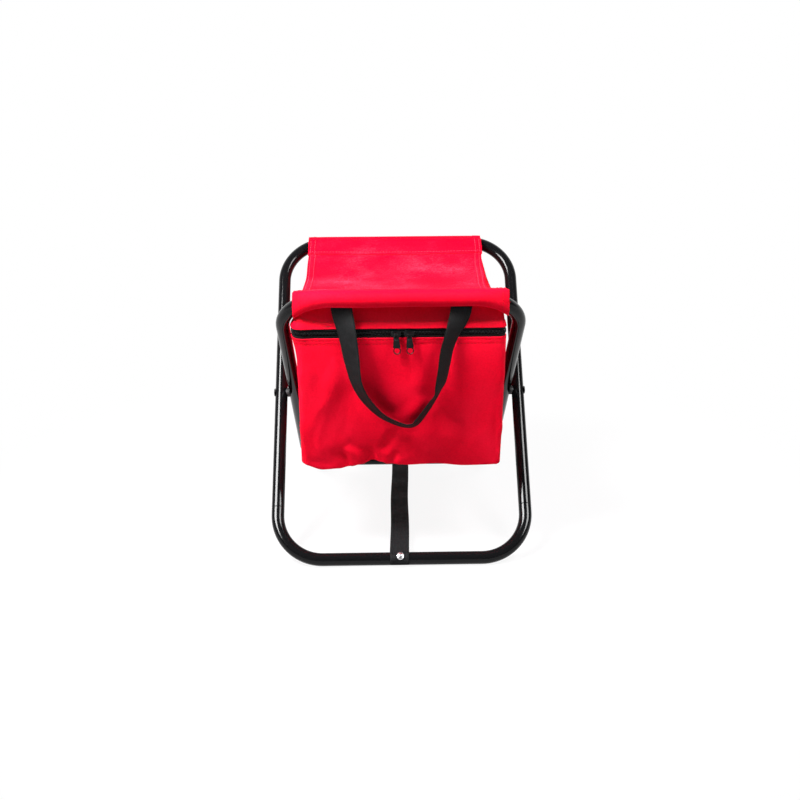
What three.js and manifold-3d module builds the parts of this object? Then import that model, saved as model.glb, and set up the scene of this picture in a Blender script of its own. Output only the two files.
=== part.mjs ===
// Folding cooler stool: two crossed loops of bent tube, a sling seat with a sleeve round each seat rail,
// and an insulated bag with a zipped mouth that hangs under the seat.
// Millimetres, +Z up. The origin is on the floor under the middle, -Y is the front and +X the right.
import * as THREE from 'three';
import { mergeVertices } from 'three/addons/utils/BufferGeometryUtils.js';
import Module from 'manifold-3d';

const wasm = await Module();
wasm.setup();

// Fits
const CLEARANCE = 0.3; // between pieces that touch

// Tube frame
const TUBE_DIAMETER = 16.8;
const TUBE_WALL = 1;
const OUTER_LOOP_WIDTH = 326; // leg axis to leg axis
const SEAT_RAIL_HEIGHT = 356; // seat rail axis above the floor
const RAIL_SPREAD = 310; // front rail axis to rear rail axis, at the seat and at the floor
const BEND_RADIUS = 60; // of the tube axis
const LEG_JOINT_RISE = 10; // along the leg, from the foot bend to the joint of the two tubes
const SPIGOT_LENGTH = 28; // swaged end of the foot tube, inside the leg
const TUBE_SIDES = 16;
const BEND_STEPS = 7;

// Pivots of the crossed legs
const PIVOT_GAP = 2.2; // between the outer and the inner leg
const PIVOT_RIVET_DIAMETER = 6;
const PIVOT_HEAD_DIAMETER = 11;
const PIVOT_HEAD_HEIGHT = 2.6;
const SADDLE_DIAMETER = 12.4;
const ROUND_SIDES = 16;
const DOME_RIM = 0.32; // share of a rivet head's height that stands straight
const DOME_SHOULDER_RADIUS = 0.7; // share of the head's radius at the shoulder of the dome
const DOME_SHOULDER_HEIGHT = 0.8; // share of the head's height at the shoulder of the dome

// Sling seat
const CLOTH = 1.2; // seat and bag cloth, doubled
const REAR_SLEEVE_MARGIN = 38; // loop's half width less half the sleeve's length along the rail
const FRONT_SLEEVE_MARGIN = 12; // the same at the front, where the sleeve goes round part of the bends
const SEAT_REAR_INSET = 3; // side hem inside the end of the rear sleeve
const SEAT_FRONT_INSET = 19; // side hem inside the end of the front sleeve
const SEAT_SAG = 34; // middle of the seat below its ends
const SEAT_EDGE_LIFT = 4; // side hems above the middle line
const SEAT_COLUMNS = 12;
const SEAT_ROWS = 14;

// Bag
const BAG_SIDE_GAP = 9.4; // to the inner legs
const BAG_FRONT_SETBACK = 3; // bag face behind the seat rail axis, front and rear
const BAG_HEIGHT = 184; // zip line to the bottom
const BAG_END_TAPER = 22; // each end leans in this far at the bottom
const BAG_SIDE_TAPER = 0.4; // each side leans in this far at the bottom
const BAG_CORNER_RADIUS = 10;
const BAG_BOTTOM_RADIUS = 8;
const FOAM = 4;
const LINING = 1;
const LID_UNDER_SEAT = 2; // lid cloth below the hanging seat
const LID_PAD_SETBACK = 15; // lid foam and lining inside the bag's outline
const LID_PAD_RADIUS = 6; // corners of the lid foam and lining
const REAR_EDGE_LAP = 3; // bag's rear edge down into its shell
const LID_COLUMNS = 8;
const LID_ROWS = 10;
const CORNER_STEPS = 4;

// Zip round the front and the sides of the bag
const ZIP_BELOW_SEAT = 19.4; // zip line below the lowest part of the seat
const ZIP_HEIGHT = 12.6; // lid edge to bag edge
const ZIP_REAR_GAP = 40; // closed part of each side, in front of the rear face
const COIL_HEIGHT = 2; // one half of the chain
const COIL_DEPTH = 2.4;
const COIL_GAP = 0.4; // between the two halves
const TAPE_THICKNESS = 1;
const SLIDER_SPACING = 16; // centre to centre
const SLIDER_MEETING_X = 2.4; // where the closed sliders meet, right of the middle
const SLIDER_LENGTH = 12;
const SLIDER_MOUTH_HEIGHT = 9;
const SLIDER_TAIL_HEIGHT = 6.6;
const SLIDER_PLATE = 1.2;
const SLIDER_POST_HEIGHT = 1.4;
const SLIDER_POST_LENGTH = 3;
const BAIL_WIDTH = 7.6;
const BAIL_BAR = 1.5;
const BAIL_REACH = 3.8; // outer face of the bar in front of the slider
const PULL_EYE_WIDTH = 3.8;
const PULL_EYE_WALL = 0.9;
const PULL_LENGTH = 17; // bail bar to the end of the tab
const PULL_TOP_WIDTH = 7.2;
const PULL_END_WIDTH = 9.2;
const PULL_THICKNESS = 1.8;
const PULL_LOOP_LENGTH = 8;
const PULL_LOOP_WIDTH = 8.2;
const PULL_WIRE = 1.2;
const PULL_WIRE_STEPS = 12;
const PULL_WIRE_CURVE = 3; // steps of each half of the wire's section

// Webbing: carry handle and floor strap
const WEBBING_WIDTH = 25;
const WEBBING = 1.6;
const HANDLE_SPAN = 140; // between the two sewn ends
const HANDLE_DROP = 149; // sewn ends to the bottom of the loop
const HANDLE_STAND_OFF = 12.8; // loop in front of the bag at the zip
const HANDLE_STEPS = 30;
const HANDLE_COURSE = [ // shares of the half span, of the drop and of the turn on edge, from a sewn end down
  [0.92, 0.24, 0],
  [0.83, 0.4, 0.32],
  [0.74, 0.56, 0.68],
  [0.58, 0.74, 0.94],
  [0.32, 0.91, 1],
];
const HANDLE_FIRST_SPAN = 0.98; // the same for the place where the webbing leaves the bag
const HANDLE_FIRST_DROP = 0.12;
const HANDLE_FIRST_LEAVE = 0.55; // share of the stand-off reached there
const HANDLE_TURN_FROM = 0.36; // shares of the half loop between which the webbing turns on edge
const HANDLE_TURN_TO = 1;
const STRAP_SAG = 3;
const STRAP_FRONT_X = -4; // the strap lies a little askew: its middle on the front rail and on the rear rail
const STRAP_REAR_X = 2.4;
const STRAP_FRONT_RIVET_X = -3;
const STRAP_REAR_RIVET_X = 2.4;
const STRAP_LAP = 115; // degrees of the foot rail that each end wraps, from the top outwards
const STRAP_STEPS = 6;
const STRAP_RIVET_ANGLE = 42; // degrees outwards from the top of the foot rail
const STRAP_RIVET_DIAMETER = 4.8;
const STRAP_HEAD_DIAMETER = 10;
const STRAP_HEAD_HEIGHT = 2.2;
const STRAP_MANDREL_DIAMETER = 2.6;
const STRAP_MANDREL_DEPTH = 1.3;
const STRAP_SHANK_END = 2.5; // inside the tube wall

// Worked out from the sizes above
const TUBE_RADIUS = TUBE_DIAMETER / 2;
const CORNER = 1 / Math.cos(Math.PI / TUBE_SIDES); // corner radius over flat radius of a tube's section
const TUBE_REACH = TUBE_RADIUS * CORNER;
const SLEEVE_INSIDE = TUBE_RADIUS + CLEARANCE;
const SLEEVE_OUTSIDE = SLEEVE_INSIDE + CLOTH;
const SLEEVE_REACH = SLEEVE_OUTSIDE * CORNER;
const FOOT_RAIL_HEIGHT = TUBE_RADIUS;
const HALF_SPREAD = RAIL_SPREAD / 2;
const LOOP_RISE = SEAT_RAIL_HEIGHT - FOOT_RAIL_HEIGHT;
const LOOP_LENGTH = Math.hypot(RAIL_SPREAD, LOOP_RISE);
const LEAN = Math.atan2(RAIL_SPREAD, LOOP_RISE);
const PIVOT_HEIGHT = (SEAT_RAIL_HEIGHT + FOOT_RAIL_HEIGHT) / 2;
const OUTER_HALF_WIDTH = OUTER_LOOP_WIDTH / 2;
const INNER_HALF_WIDTH = OUTER_HALF_WIDTH - TUBE_DIAMETER - PIVOT_GAP;
const REAR_SLEEVE_HALF = OUTER_HALF_WIDTH - REAR_SLEEVE_MARGIN;
const FRONT_SLEEVE_HALF = INNER_HALF_WIDTH - FRONT_SLEEVE_MARGIN;
const SEAT_REAR_HALF = REAR_SLEEVE_HALF - SEAT_REAR_INSET;
const SEAT_FRONT_HALF = FRONT_SLEEVE_HALF - SEAT_FRONT_INSET;
const BEND_LENGTH = (BEND_RADIUS * Math.PI) / 2;
const SEAT_SLOPE = Math.atan((4 * SEAT_SAG) / RAIL_SPREAD);
const SEAT_START = SLEEVE_REACH + CLEARANCE; // seat cloth from the rail axis, where it leaves the sleeve
const SEAT_LOW = SEAT_RAIL_HEIGHT + SEAT_START * Math.cos(SEAT_SLOPE) - SEAT_SAG;
const ZIP_Z = SEAT_LOW - ZIP_BELOW_SEAT;
const LID_BOTTOM = ZIP_Z + ZIP_HEIGHT / 2;
const SHELL_TOP = ZIP_Z - ZIP_HEIGHT / 2;
const BAG_BOTTOM = ZIP_Z - BAG_HEIGHT;
const LID_TOP = SEAT_RAIL_HEIGHT - SLEEVE_REACH - CLEARANCE;
const BAG_HALF_WIDTH = INNER_HALF_WIDTH - TUBE_REACH - BAG_SIDE_GAP;
const BAG_HALF_DEPTH = HALF_SPREAD - BAG_FRONT_SETBACK;
const ZIP_END_Y = BAG_HALF_DEPTH - ZIP_REAR_GAP;

const X = new THREE.Vector3(1, 0, 0);
const Y = new THREE.Vector3(0, 1, 0);
const Z = new THREE.Vector3(0, 0, 1);
const at = (x, y, z) => new THREE.Vector3(x, y, z);

// Closed geometry with its faces turned outwards
function closed(points, faces) {
  let volume = 0;
  for (const [a, b, c] of faces) {
    volume += points[a].dot(points[b].clone().cross(points[c]));
  }
  const index = faces.flatMap(([a, b, c]) => (volume < 0 ? [a, c, b] : [a, b, c]));
  const geometry = new THREE.BufferGeometry();
  geometry.setAttribute('position', new THREE.Float32BufferAttribute(points.flatMap((p) => p.toArray()), 3));
  geometry.setIndex(index);
  return geometry;
}

// Skin over rings of equally many points: joined end to end, or capped at the first and the last ring
function skin(rings, joined) {
  const count = rings[0].length;
  const points = rings.flat();
  const faces = [];
  const bands = joined ? rings.length : rings.length - 1;
  for (let band = 0; band < bands; band++) {
    const a = band * count;
    const b = ((band + 1) % rings.length) * count;
    for (let i = 0; i < count; i++) {
      const next = (i + 1) % count;
      faces.push([a + i, a + next, b + next], [a + i, b + next, b + i]);
    }
  }
  if (!joined) {
    const last = (rings.length - 1) * count;
    const middles = [rings[0], rings.at(-1)].map((ring) => {
      return ring.reduce((sum, p) => sum.add(p), at(0, 0, 0)).divideScalar(count);
    });
    points.push(...middles);
    for (let i = 0; i < count; i++) {
      const next = (i + 1) % count;
      faces.push([next, i, points.length - 2], [last + i, last + next, points.length - 1]);
    }
  }
  return closed(points, faces);
}

// Slab between an upper and a lower grid of points
function slab(columns, rows, upper, lower) {
  const points = [];
  const faces = [];
  const index = (side, i, j) => side * (columns + 1) * (rows + 1) + j * (columns + 1) + i;
  for (const place of [upper, lower]) {
    for (let j = 0; j <= rows; j++) {
      for (let i = 0; i <= columns; i++) {
        points.push(place(i / columns, j / rows));
      }
    }
  }
  const quad = (a, b, c, d) => faces.push([a, b, c], [a, c, d]);
  for (let j = 0; j < rows; j++) {
    for (let i = 0; i < columns; i++) {
      quad(index(0, i, j), index(0, i + 1, j), index(0, i + 1, j + 1), index(0, i, j + 1));
      quad(index(1, i, j), index(1, i, j + 1), index(1, i + 1, j + 1), index(1, i + 1, j));
    }
    quad(index(0, 0, j), index(0, 0, j + 1), index(1, 0, j + 1), index(1, 0, j));
    quad(index(0, columns, j), index(1, columns, j), index(1, columns, j + 1), index(0, columns, j + 1));
  }
  for (let i = 0; i < columns; i++) {
    quad(index(0, i, 0), index(1, i, 0), index(1, i + 1, 0), index(0, i + 1, 0));
    quad(index(0, i, rows), index(0, i + 1, rows), index(1, i + 1, rows), index(1, i, rows));
  }
  return closed(points, faces);
}

// Exact solid of a closed geometry, for joining and cutting
function solid(geometry) {
  const bare = new THREE.BufferGeometry();
  bare.setAttribute('position', geometry.getAttribute('position').clone());
  bare.setIndex(geometry.index);
  const merged = mergeVertices(bare);
  return new wasm.Manifold(
    new wasm.Mesh({
      numProp: 3,
      vertProperties: merged.getAttribute('position').array,
      triVerts: new Uint32Array(merged.index.array),
    }),
  );
}

// Geometry of an exact solid
function geometryOf(made) {
  const mesh = made.getMesh();
  const geometry = new THREE.BufferGeometry();
  geometry.setAttribute('position', new THREE.BufferAttribute(mesh.vertProperties, mesh.numProp));
  geometry.setIndex(new THREE.BufferAttribute(mesh.triVerts, 1));
  return geometry;
}

// Turned piece: a profile of [radius, height] points, with its axis laid along a direction from a place
function turned(profile, place, direction, sides = ROUND_SIDES) {
  const geometry = new THREE.LatheGeometry(profile.map(([r, h]) => new THREE.Vector2(r, h)), sides);
  geometry.applyQuaternion(new THREE.Quaternion().setFromUnitVectors(Y, direction));
  return geometry.translate(place.x, place.y, place.z);
}

// Rod with flat ends, between two heights along a direction
function rod(radius, from, to, place, direction, sides = ROUND_SIDES) {
  return turned([[0, from], [radius, from], [radius, to], [0, to]], place, direction, sides);
}

// Outline extruded along Z from a height
function prism(shape, from, to) {
  const made = new THREE.ExtrudeGeometry(shape, { depth: to - from, bevelEnabled: false });
  return made.translate(0, 0, from);
}

// Outline of [y, z] points extruded along X, about a middle
function crossPrism(shape, width, middle, curveSegments = ROUND_SIDES / 2) {
  const made = new THREE.ExtrudeGeometry(shape, { depth: width, bevelEnabled: false, curveSegments });
  const turn = new THREE.Matrix4().makeBasis(Y, Z, X);
  return made.applyMatrix4(turn).translate(middle - width / 2, 0, 0);
}

// Outline of [x, z] points extruded along -Y from a depth
function facePrism(shape, thickness, from) {
  const made = new THREE.ExtrudeGeometry(shape, { depth: thickness, bevelEnabled: false });
  const turn = new THREE.Matrix4().makeBasis(X, Z, Y.clone().negate());
  return made.applyMatrix4(turn).translate(0, from, 0);
}

const box = (width, depth, height, x, y, z) => {
  return new THREE.BoxGeometry(width, depth, height).translate(x, y, z);
};

// Loops of the frame: the outer one leans to the rear at the top, the inner one to the front
function frameLoop(halfWidth, side) {
  const up = at(0, side * Math.sin(LEAN), Math.cos(LEAN));
  return {
    halfWidth,
    across: at(0, side * Math.cos(LEAN), -Math.sin(LEAN)),
    seat: { axis: at(0, side * HALF_SPREAD, SEAT_RAIL_HEIGHT), outward: up },
    foot: { axis: at(0, -side * HALF_SPREAD, FOOT_RAIL_HEIGHT), outward: up.clone().negate() },
  };
}
const outerLoop = frameLoop(OUTER_HALF_WIDTH, 1);
const innerLoop = frameLoop(INNER_HALF_WIDTH, -1);

// Place on a loop's axis, by its distance along the tube from the middle of a rail
function station(loop, rail, along) {
  const side = Math.sign(along);
  const straight = loop.halfWidth - BEND_RADIUS;
  const past = Math.abs(along) - straight;
  const turn = THREE.MathUtils.clamp(past / BEND_RADIUS, 0, Math.PI / 2);
  const sideways = Math.min(Math.abs(along), straight) + BEND_RADIUS * Math.sin(turn);
  const inward = BEND_RADIUS * (1 - Math.cos(turn)) + Math.max(0, past - BEND_LENGTH);
  const outward = rail.outward.clone().multiplyScalar(Math.cos(turn));
  outward.addScaledVector(X, side * Math.sin(turn));
  const centre = rail.axis.clone().addScaledVector(rail.outward, -inward);
  centre.addScaledVector(X, side * sideways);
  return { centre, outward };
}

// Distances along a tube where its section is set: both ends and every step of the bends between them
function stops(loop, half) {
  const straight = loop.halfWidth - BEND_RADIUS;
  const marks = [];
  for (let step = 0; step <= BEND_STEPS; step++) {
    marks.push(straight + (step / BEND_STEPS) * BEND_LENGTH);
  }
  const right = [...marks.filter((mark) => mark < half - CLEARANCE), half];
  return [...right.map((mark) => -mark).reverse(), ...right];
}

// Section of a tube of a given flat radius, with one flat of a foot rail turned to the floor
function roundSection(loop, rail, along, flatRadius) {
  const { centre, outward } = station(loop, rail, along);
  const ring = [];
  for (let i = 0; i < TUBE_SIDES; i++) {
    const angle = LEAN + ((i + 0.5) * 2 * Math.PI) / TUBE_SIDES;
    const spoke = outward.clone().multiplyScalar(Math.cos(angle));
    spoke.addScaledVector(loop.across, Math.sin(angle));
    ring.push(centre.clone().addScaledVector(spoke, flatRadius * CORNER));
  }
  return ring;
}

// The same, where a section inside a bend lies on the straight piece between two of its steps
function section(loop, rail, along, flatRadius) {
  const straight = loop.halfWidth - BEND_RADIUS;
  const steps = ((Math.abs(along) - straight) / BEND_LENGTH) * BEND_STEPS;
  if (steps <= 0 || steps >= BEND_STEPS) {
    return roundSection(loop, rail, along, flatRadius);
  }
  const whole = Math.floor(steps);
  const [low, high] = [whole, whole + 1].map((step) => {
    const mark = straight + (step / BEND_STEPS) * BEND_LENGTH;
    return roundSection(loop, rail, Math.sign(along) * mark, flatRadius);
  });
  return low.map((point, i) => point.lerp(high[i], steps - whole));
}

// Solid bar along a rail and its bends, for cutting room
function bar(loop, rail, half, flatRadius) {
  return skin(stops(loop, half).map((along) => section(loop, rail, along, flatRadius)), false);
}

// Open pipe along a rail and its bends
function pipe(loop, rail, half, outside, inside) {
  const along = stops(loop, half);
  const outer = along.map((mark) => section(loop, rail, mark, outside));
  const inner = along.map((mark) => section(loop, rail, mark, inside));
  return skin([...outer, ...inner.reverse()], true);
}

// Hole for a pivot rivet, right across the stool
const pivotDrill = rod(
  PIVOT_RIVET_DIAMETER / 2 + CLEARANCE, -OUTER_LOOP_WIDTH, OUTER_LOOP_WIDTH, at(0, 0, PIVOT_HEIGHT), X,
);

// Upper tube of a loop: the seat rail and both legs down to the joint above the foot bend
function seatTube(loop) {
  const leg = LOOP_LENGTH - 2 * BEND_RADIUS - LEG_JOINT_RISE - CLEARANCE;
  const half = loop.halfWidth - BEND_RADIUS + BEND_LENGTH + leg;
  const made = pipe(loop, loop.seat, half, TUBE_RADIUS, TUBE_RADIUS - TUBE_WALL);
  return geometryOf(solid(made).subtract(solid(pivotDrill)));
}

// Lower tube of a loop: the foot rail, its bends and a swaged spigot up into each leg
function footTube(loop) {
  const shoulder = loop.halfWidth - BEND_RADIUS + BEND_LENGTH + LEG_JOINT_RISE;
  const tip = shoulder + SPIGOT_LENGTH;
  const bore = TUBE_RADIUS - TUBE_WALL;
  const spigot = bore - CLEARANCE;
  const ring = (along, radius) => section(loop, loop.foot, along, radius);
  const ends = (side, outer, inner) => [
    ring(side * tip, spigot - inner),
    ring(side * (shoulder - outer), spigot - inner),
  ];
  const outer = stops(loop, shoulder).map((along) => ring(along, TUBE_RADIUS));
  const inner = stops(loop, shoulder - TUBE_WALL).map((along) => ring(along, bore));
  const rings = [
    ...ends(-1, 0, 0),
    ...outer,
    ...ends(1, 0, 0).reverse(),
    ...ends(1, TUBE_WALL, TUBE_WALL),
    ...inner.reverse(),
    ...ends(-1, TUBE_WALL, TUBE_WALL).reverse(),
  ];
  const drill = rod(
    STRAP_RIVET_DIAMETER / 2 + CLEARANCE, 0, TUBE_DIAMETER, strapRivetPlace(loop), strapRivetDirection(loop),
  );
  return geometryOf(solid(skin(rings, true)).subtract(solid(drill)));
}

// Place of a strap rivet on the axis of its foot rail
function strapRivetPlace(loop) {
  return loop.foot.axis.clone().setX(loop.foot.axis.y < 0 ? STRAP_FRONT_RIVET_X : STRAP_REAR_RIVET_X);
}

// Direction of a strap rivet, out of its foot rail
function strapRivetDirection(loop) {
  const angle = THREE.MathUtils.degToRad(STRAP_RIVET_ANGLE);
  return at(0, Math.sign(loop.foot.axis.y) * Math.sin(angle), Math.cos(angle));
}

// Pivot rivet with a domed head on the outer leg and a formed head on the inner leg
function pivotRivet(side) {
  const outerSeat = OUTER_HALF_WIDTH + TUBE_REACH + CLEARANCE;
  const innerSeat = INNER_HALF_WIDTH - TUBE_REACH - CLEARANCE;
  const shaft = PIVOT_RIVET_DIAMETER / 2;
  const head = PIVOT_HEAD_DIAMETER / 2;
  const rim = PIVOT_HEAD_HEIGHT * DOME_RIM;
  const shoulder = [head * DOME_SHOULDER_RADIUS, PIVOT_HEAD_HEIGHT * DOME_SHOULDER_HEIGHT];
  const profile = [
    [0, innerSeat - PIVOT_HEAD_HEIGHT],
    [shoulder[0], innerSeat - shoulder[1]],
    [head, innerSeat - rim],
    [head, innerSeat],
    [shaft, innerSeat],
    [shaft, outerSeat],
    [head, outerSeat],
    [head, outerSeat + rim],
    [shoulder[0], outerSeat + shoulder[1]],
    [0, outerSeat + PIVOT_HEAD_HEIGHT],
  ];
  return turned(profile, at(0, 0, PIVOT_HEIGHT), X.clone().multiplyScalar(side));
}

// Saddle washer, hollowed to its own leg and flat towards the other one
function pivotSaddle(loop, side) {
  const middle = (OUTER_HALF_WIDTH + INNER_HALF_WIDTH) / 2;
  const facing = Math.sign(loop.halfWidth - middle);
  const flat = middle + (facing * CLEARANCE) / 2;
  const [from, to] = [flat, loop.halfWidth].sort((a, b) => a - b);
  const place = at(0, 0, PIVOT_HEIGHT);
  const direction = X.clone().multiplyScalar(side);
  const blank = solid(rod(SADDLE_DIAMETER / 2, from, to, place, direction));
  const leg = rod(
    TUBE_REACH + CLEARANCE, -SADDLE_DIAMETER, SADDLE_DIAMETER,
    at(side * loop.halfWidth, 0, PIVOT_HEIGHT), loop.seat.outward, 2 * TUBE_SIDES,
  );
  return geometryOf(blank.subtract(solid(leg)).subtract(solid(pivotDrill)));
}

// Seat rail axis above a place across the stool
function railOver(loop, x) {
  const past = Math.max(0, Math.abs(x) - (loop.halfWidth - BEND_RADIUS));
  const drop = BEND_RADIUS - Math.sqrt(Math.max(0, BEND_RADIUS ** 2 - past ** 2));
  return loop.seat.axis.clone().addScaledVector(loop.seat.outward, -drop);
}

// Underside of the seat cloth where it leaves each sleeve
function seatEnds(x) {
  const rise = SEAT_START * Math.cos(SEAT_SLOPE);
  const run = SEAT_START * Math.sin(SEAT_SLOPE);
  const rear = railOver(outerLoop, x).add(at(0, -run, rise));
  const front = railOver(innerLoop, x).add(at(0, run, rise));
  return { rear, front };
}

// Height and slope of the underside of the hanging seat
function seatUnder(x, y) {
  const { rear, front } = seatEnds(x);
  const span = rear.y - front.y;
  const t = (rear.y - y) / span;
  const sag = SEAT_SAG - SEAT_EDGE_LIFT * (x / SEAT_REAR_HALF) ** 2;
  const height = THREE.MathUtils.lerp(rear.z, front.z, t) - 4 * sag * t * (1 - t);
  const slope = (rear.z - front.z + 4 * sag * (1 - 2 * t)) / span;
  return { height, slope };
}

// Seat panel: one sagging sheet from sleeve to sleeve, a little narrower at the front
function seatPanel() {
  const half = (t) => THREE.MathUtils.lerp(SEAT_REAR_HALF, SEAT_FRONT_HALF, t);
  const under = (u, t) => {
    const x = (2 * u - 1) * half(t);
    const { rear, front } = seatEnds(x);
    const y = THREE.MathUtils.lerp(rear.y, front.y, t);
    return at(x, y, seatUnder(x, y).height);
  };
  const over = (u, t) => {
    const place = under(u, t);
    const normal = at(0, -seatUnder(place.x, place.y).slope, 1).normalize();
    return place.addScaledVector(normal, CLOTH);
  };
  return slab(SEAT_COLUMNS, SEAT_ROWS, over, under);
}

// Room round a seat rail and its bends that the bag's lid keeps clear of
const railRoom = [outerLoop, innerLoop].map((loop) => {
  const half = loop.halfWidth - BEND_RADIUS + BEND_LENGTH;
  return solid(bar(loop, loop.seat, half, SLEEVE_OUTSIDE + CLEARANCE));
});

// Rounded rectangle in plan, as points from the front right corner round to the rear right one
function planRing(halfWidth, halfDepth, radius, z) {
  const ring = [];
  for (let corner = 0; corner < 4; corner++) {
    const sideX = corner === 0 || corner === 3 ? 1 : -1;
    const sideY = corner < 2 ? -1 : 1;
    for (let step = 0; step <= CORNER_STEPS; step++) {
      const angle = -(corner + step / CORNER_STEPS) * (Math.PI / 2);
      const x = sideX * (halfWidth - radius) + radius * Math.cos(angle);
      const y = sideY * (halfDepth - radius) + radius * Math.sin(angle);
      ring.push(at(x, y, z));
    }
  }
  return ring;
}

// Upright block of the bag's outline at the zip, set in from its face
function bagBlock(inset, radius, from, to) {
  const rings = [from, to].map((z) => planRing(BAG_HALF_WIDTH - inset, BAG_HALF_DEPTH - inset, radius, z));
  return solid(skin(rings, false));
}

// Everything under the lid's upper face, lowered by a distance
function underLid(lowered, from) {
  const reach = (u, half) => (2 * u - 1) * (half + CLOTH);
  const place = (u, v) => [reach(u, BAG_HALF_WIDTH), reach(v, BAG_HALF_DEPTH)];
  const upper = (u, v) => {
    const [x, y] = place(u, v);
    return at(x, y, Math.min(LID_TOP, seatUnder(x, y).height - LID_UNDER_SEAT) - lowered);
  };
  const lower = (u, v) => at(...place(u, v), from);
  return solid(slab(LID_COLUMNS, LID_ROWS, upper, lower));
}

const clearOfRails = (made) => railRoom.reduce((left, room) => left.subtract(room), made);

// Bag lid: cloth under the seat with a strip down to the zip all round
function bagLid() {
  const block = (inset, from) => bagBlock(inset, BAG_CORNER_RADIUS - inset, from, SEAT_RAIL_HEIGHT);
  const outside = block(0, LID_BOTTOM).intersect(underLid(0, BAG_BOTTOM));
  const inside = block(CLOTH, BAG_BOTTOM).intersect(underLid(CLOTH, BAG_BOTTOM));
  return geometryOf(clearOfRails(outside.subtract(inside)));
}

// Layer of the lid's padding, between two depths under the lid's upper face
function lidLayer(from, to) {
  const plan = bagBlock(LID_PAD_SETBACK, LID_PAD_RADIUS, BAG_BOTTOM, SEAT_RAIL_HEIGHT);
  const layer = underLid(from, BAG_BOTTOM).subtract(underLid(to, BAG_BOTTOM - BAG_HEIGHT));
  return geometryOf(clearOfRails(plan.intersect(layer)));
}

// Rings of the bag's wall from its top edge to its rounded bottom edge, set in from the outer face
function bagRings(inset, top) {
  const depth = SHELL_TOP - BAG_BOTTOM;
  const radius = BAG_BOTTOM_RADIUS - inset;
  const bottom = BAG_BOTTOM + inset;
  const ring = (z, tuck) => {
    const lean = (SHELL_TOP - z) / depth;
    const halfWidth = BAG_HALF_WIDTH - BAG_SIDE_TAPER * lean - inset - tuck;
    const halfDepth = BAG_HALF_DEPTH - BAG_END_TAPER * lean - inset - tuck;
    return planRing(halfWidth, halfDepth, BAG_CORNER_RADIUS - inset, z);
  };
  const rings = [ring(top, 0)];
  for (const turn of [0, Math.PI / 4, Math.PI / 2]) {
    rings.push(ring(bottom + radius * (1 - Math.sin(turn)), radius * (1 - Math.cos(turn))));
  }
  return rings;
}

// Open tub of the bag's shape: one layer of its wall and floor
function tub(inset, thickness) {
  const outer = bagRings(inset, SHELL_TOP);
  const inner = bagRings(inset + thickness, SHELL_TOP);
  return skin([...outer.reverse(), ...inner], false);
}

// Strip of the bag's outline round one end and part of both sides, between two heights
function endStrip(end, sideEnd, outset, inset, from, to) {
  const edge = (offset) => {
    const halfWidth = BAG_HALF_WIDTH + offset;
    const halfDepth = BAG_HALF_DEPTH + offset;
    const ring = planRing(halfWidth, halfDepth, BAG_CORNER_RADIUS + offset, 0);
    const corners = end < 0 ? ring.slice(0, ring.length / 2) : ring.slice(ring.length / 2);
    const side = Math.sign(corners[0].x);
    return [at(side * halfWidth, sideEnd, 0), ...corners, at(-side * halfWidth, sideEnd, 0)];
  };
  const outline = [...edge(outset), ...edge(-inset).reverse()];
  return prism(new THREE.Shape(outline.map((p) => new THREE.Vector2(p.x, p.y))), from, to);
}

// Bag shell: outer cloth, with its rear edge carried up to the lid behind the zip's ends
function bagShell() {
  const rearEdge = endStrip(
    1, ZIP_END_Y + CLEARANCE, 0, CLOTH, SHELL_TOP - REAR_EDGE_LAP, LID_BOTTOM - CLEARANCE,
  );
  return geometryOf(solid(tub(0, CLOTH)).add(solid(rearEdge)));
}

const sliderX = (side) => SLIDER_MEETING_X + (side * SLIDER_SPACING) / 2;

// Room in the chain for the slider's post, at the mouth of the slider
function postRoom(side) {
  const mouth = sliderX(side) - (side * (SLIDER_LENGTH - SLIDER_POST_LENGTH)) / 2;
  return box(
    SLIDER_POST_LENGTH + 2 * CLEARANCE, 2 * COIL_DEPTH, SLIDER_POST_HEIGHT + 2 * CLEARANCE,
    mouth, -BAG_HALF_DEPTH, ZIP_Z,
  );
}

// One half of the zip chain, above or below the zip line
function zipCoil(level) {
  const near = ZIP_Z + (level * COIL_GAP) / 2;
  const far = near + level * COIL_HEIGHT;
  const proud = (COIL_DEPTH - CLOTH) / 2;
  const strip = endStrip(-1, ZIP_END_Y, proud, COIL_DEPTH - proud, Math.min(near, far), Math.max(near, far));
  return geometryOf(solid(strip).subtract(solid(postRoom(-1))).subtract(solid(postRoom(1))));
}

// Tape of the zip between the chain and the cloth, above or below the zip line
function zipTape(level) {
  const near = ZIP_Z + level * (COIL_GAP / 2 + COIL_HEIGHT + CLEARANCE);
  const far = ZIP_Z + level * (ZIP_HEIGHT / 2 - CLEARANCE);
  const inset = (CLOTH - TAPE_THICKNESS) / 2;
  return endStrip(-1, ZIP_END_Y, -inset, CLOTH - inset, Math.min(near, far), Math.max(near, far));
}

const CHAIN_FRONT = -BAG_HALF_DEPTH - (COIL_DEPTH - CLOTH) / 2;
const SLIDER_FACE = CHAIN_FRONT - CLEARANCE - SLIDER_PLATE;
const BAIL_Y = SLIDER_FACE - BAIL_REACH + BAIL_BAR / 2;

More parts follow.
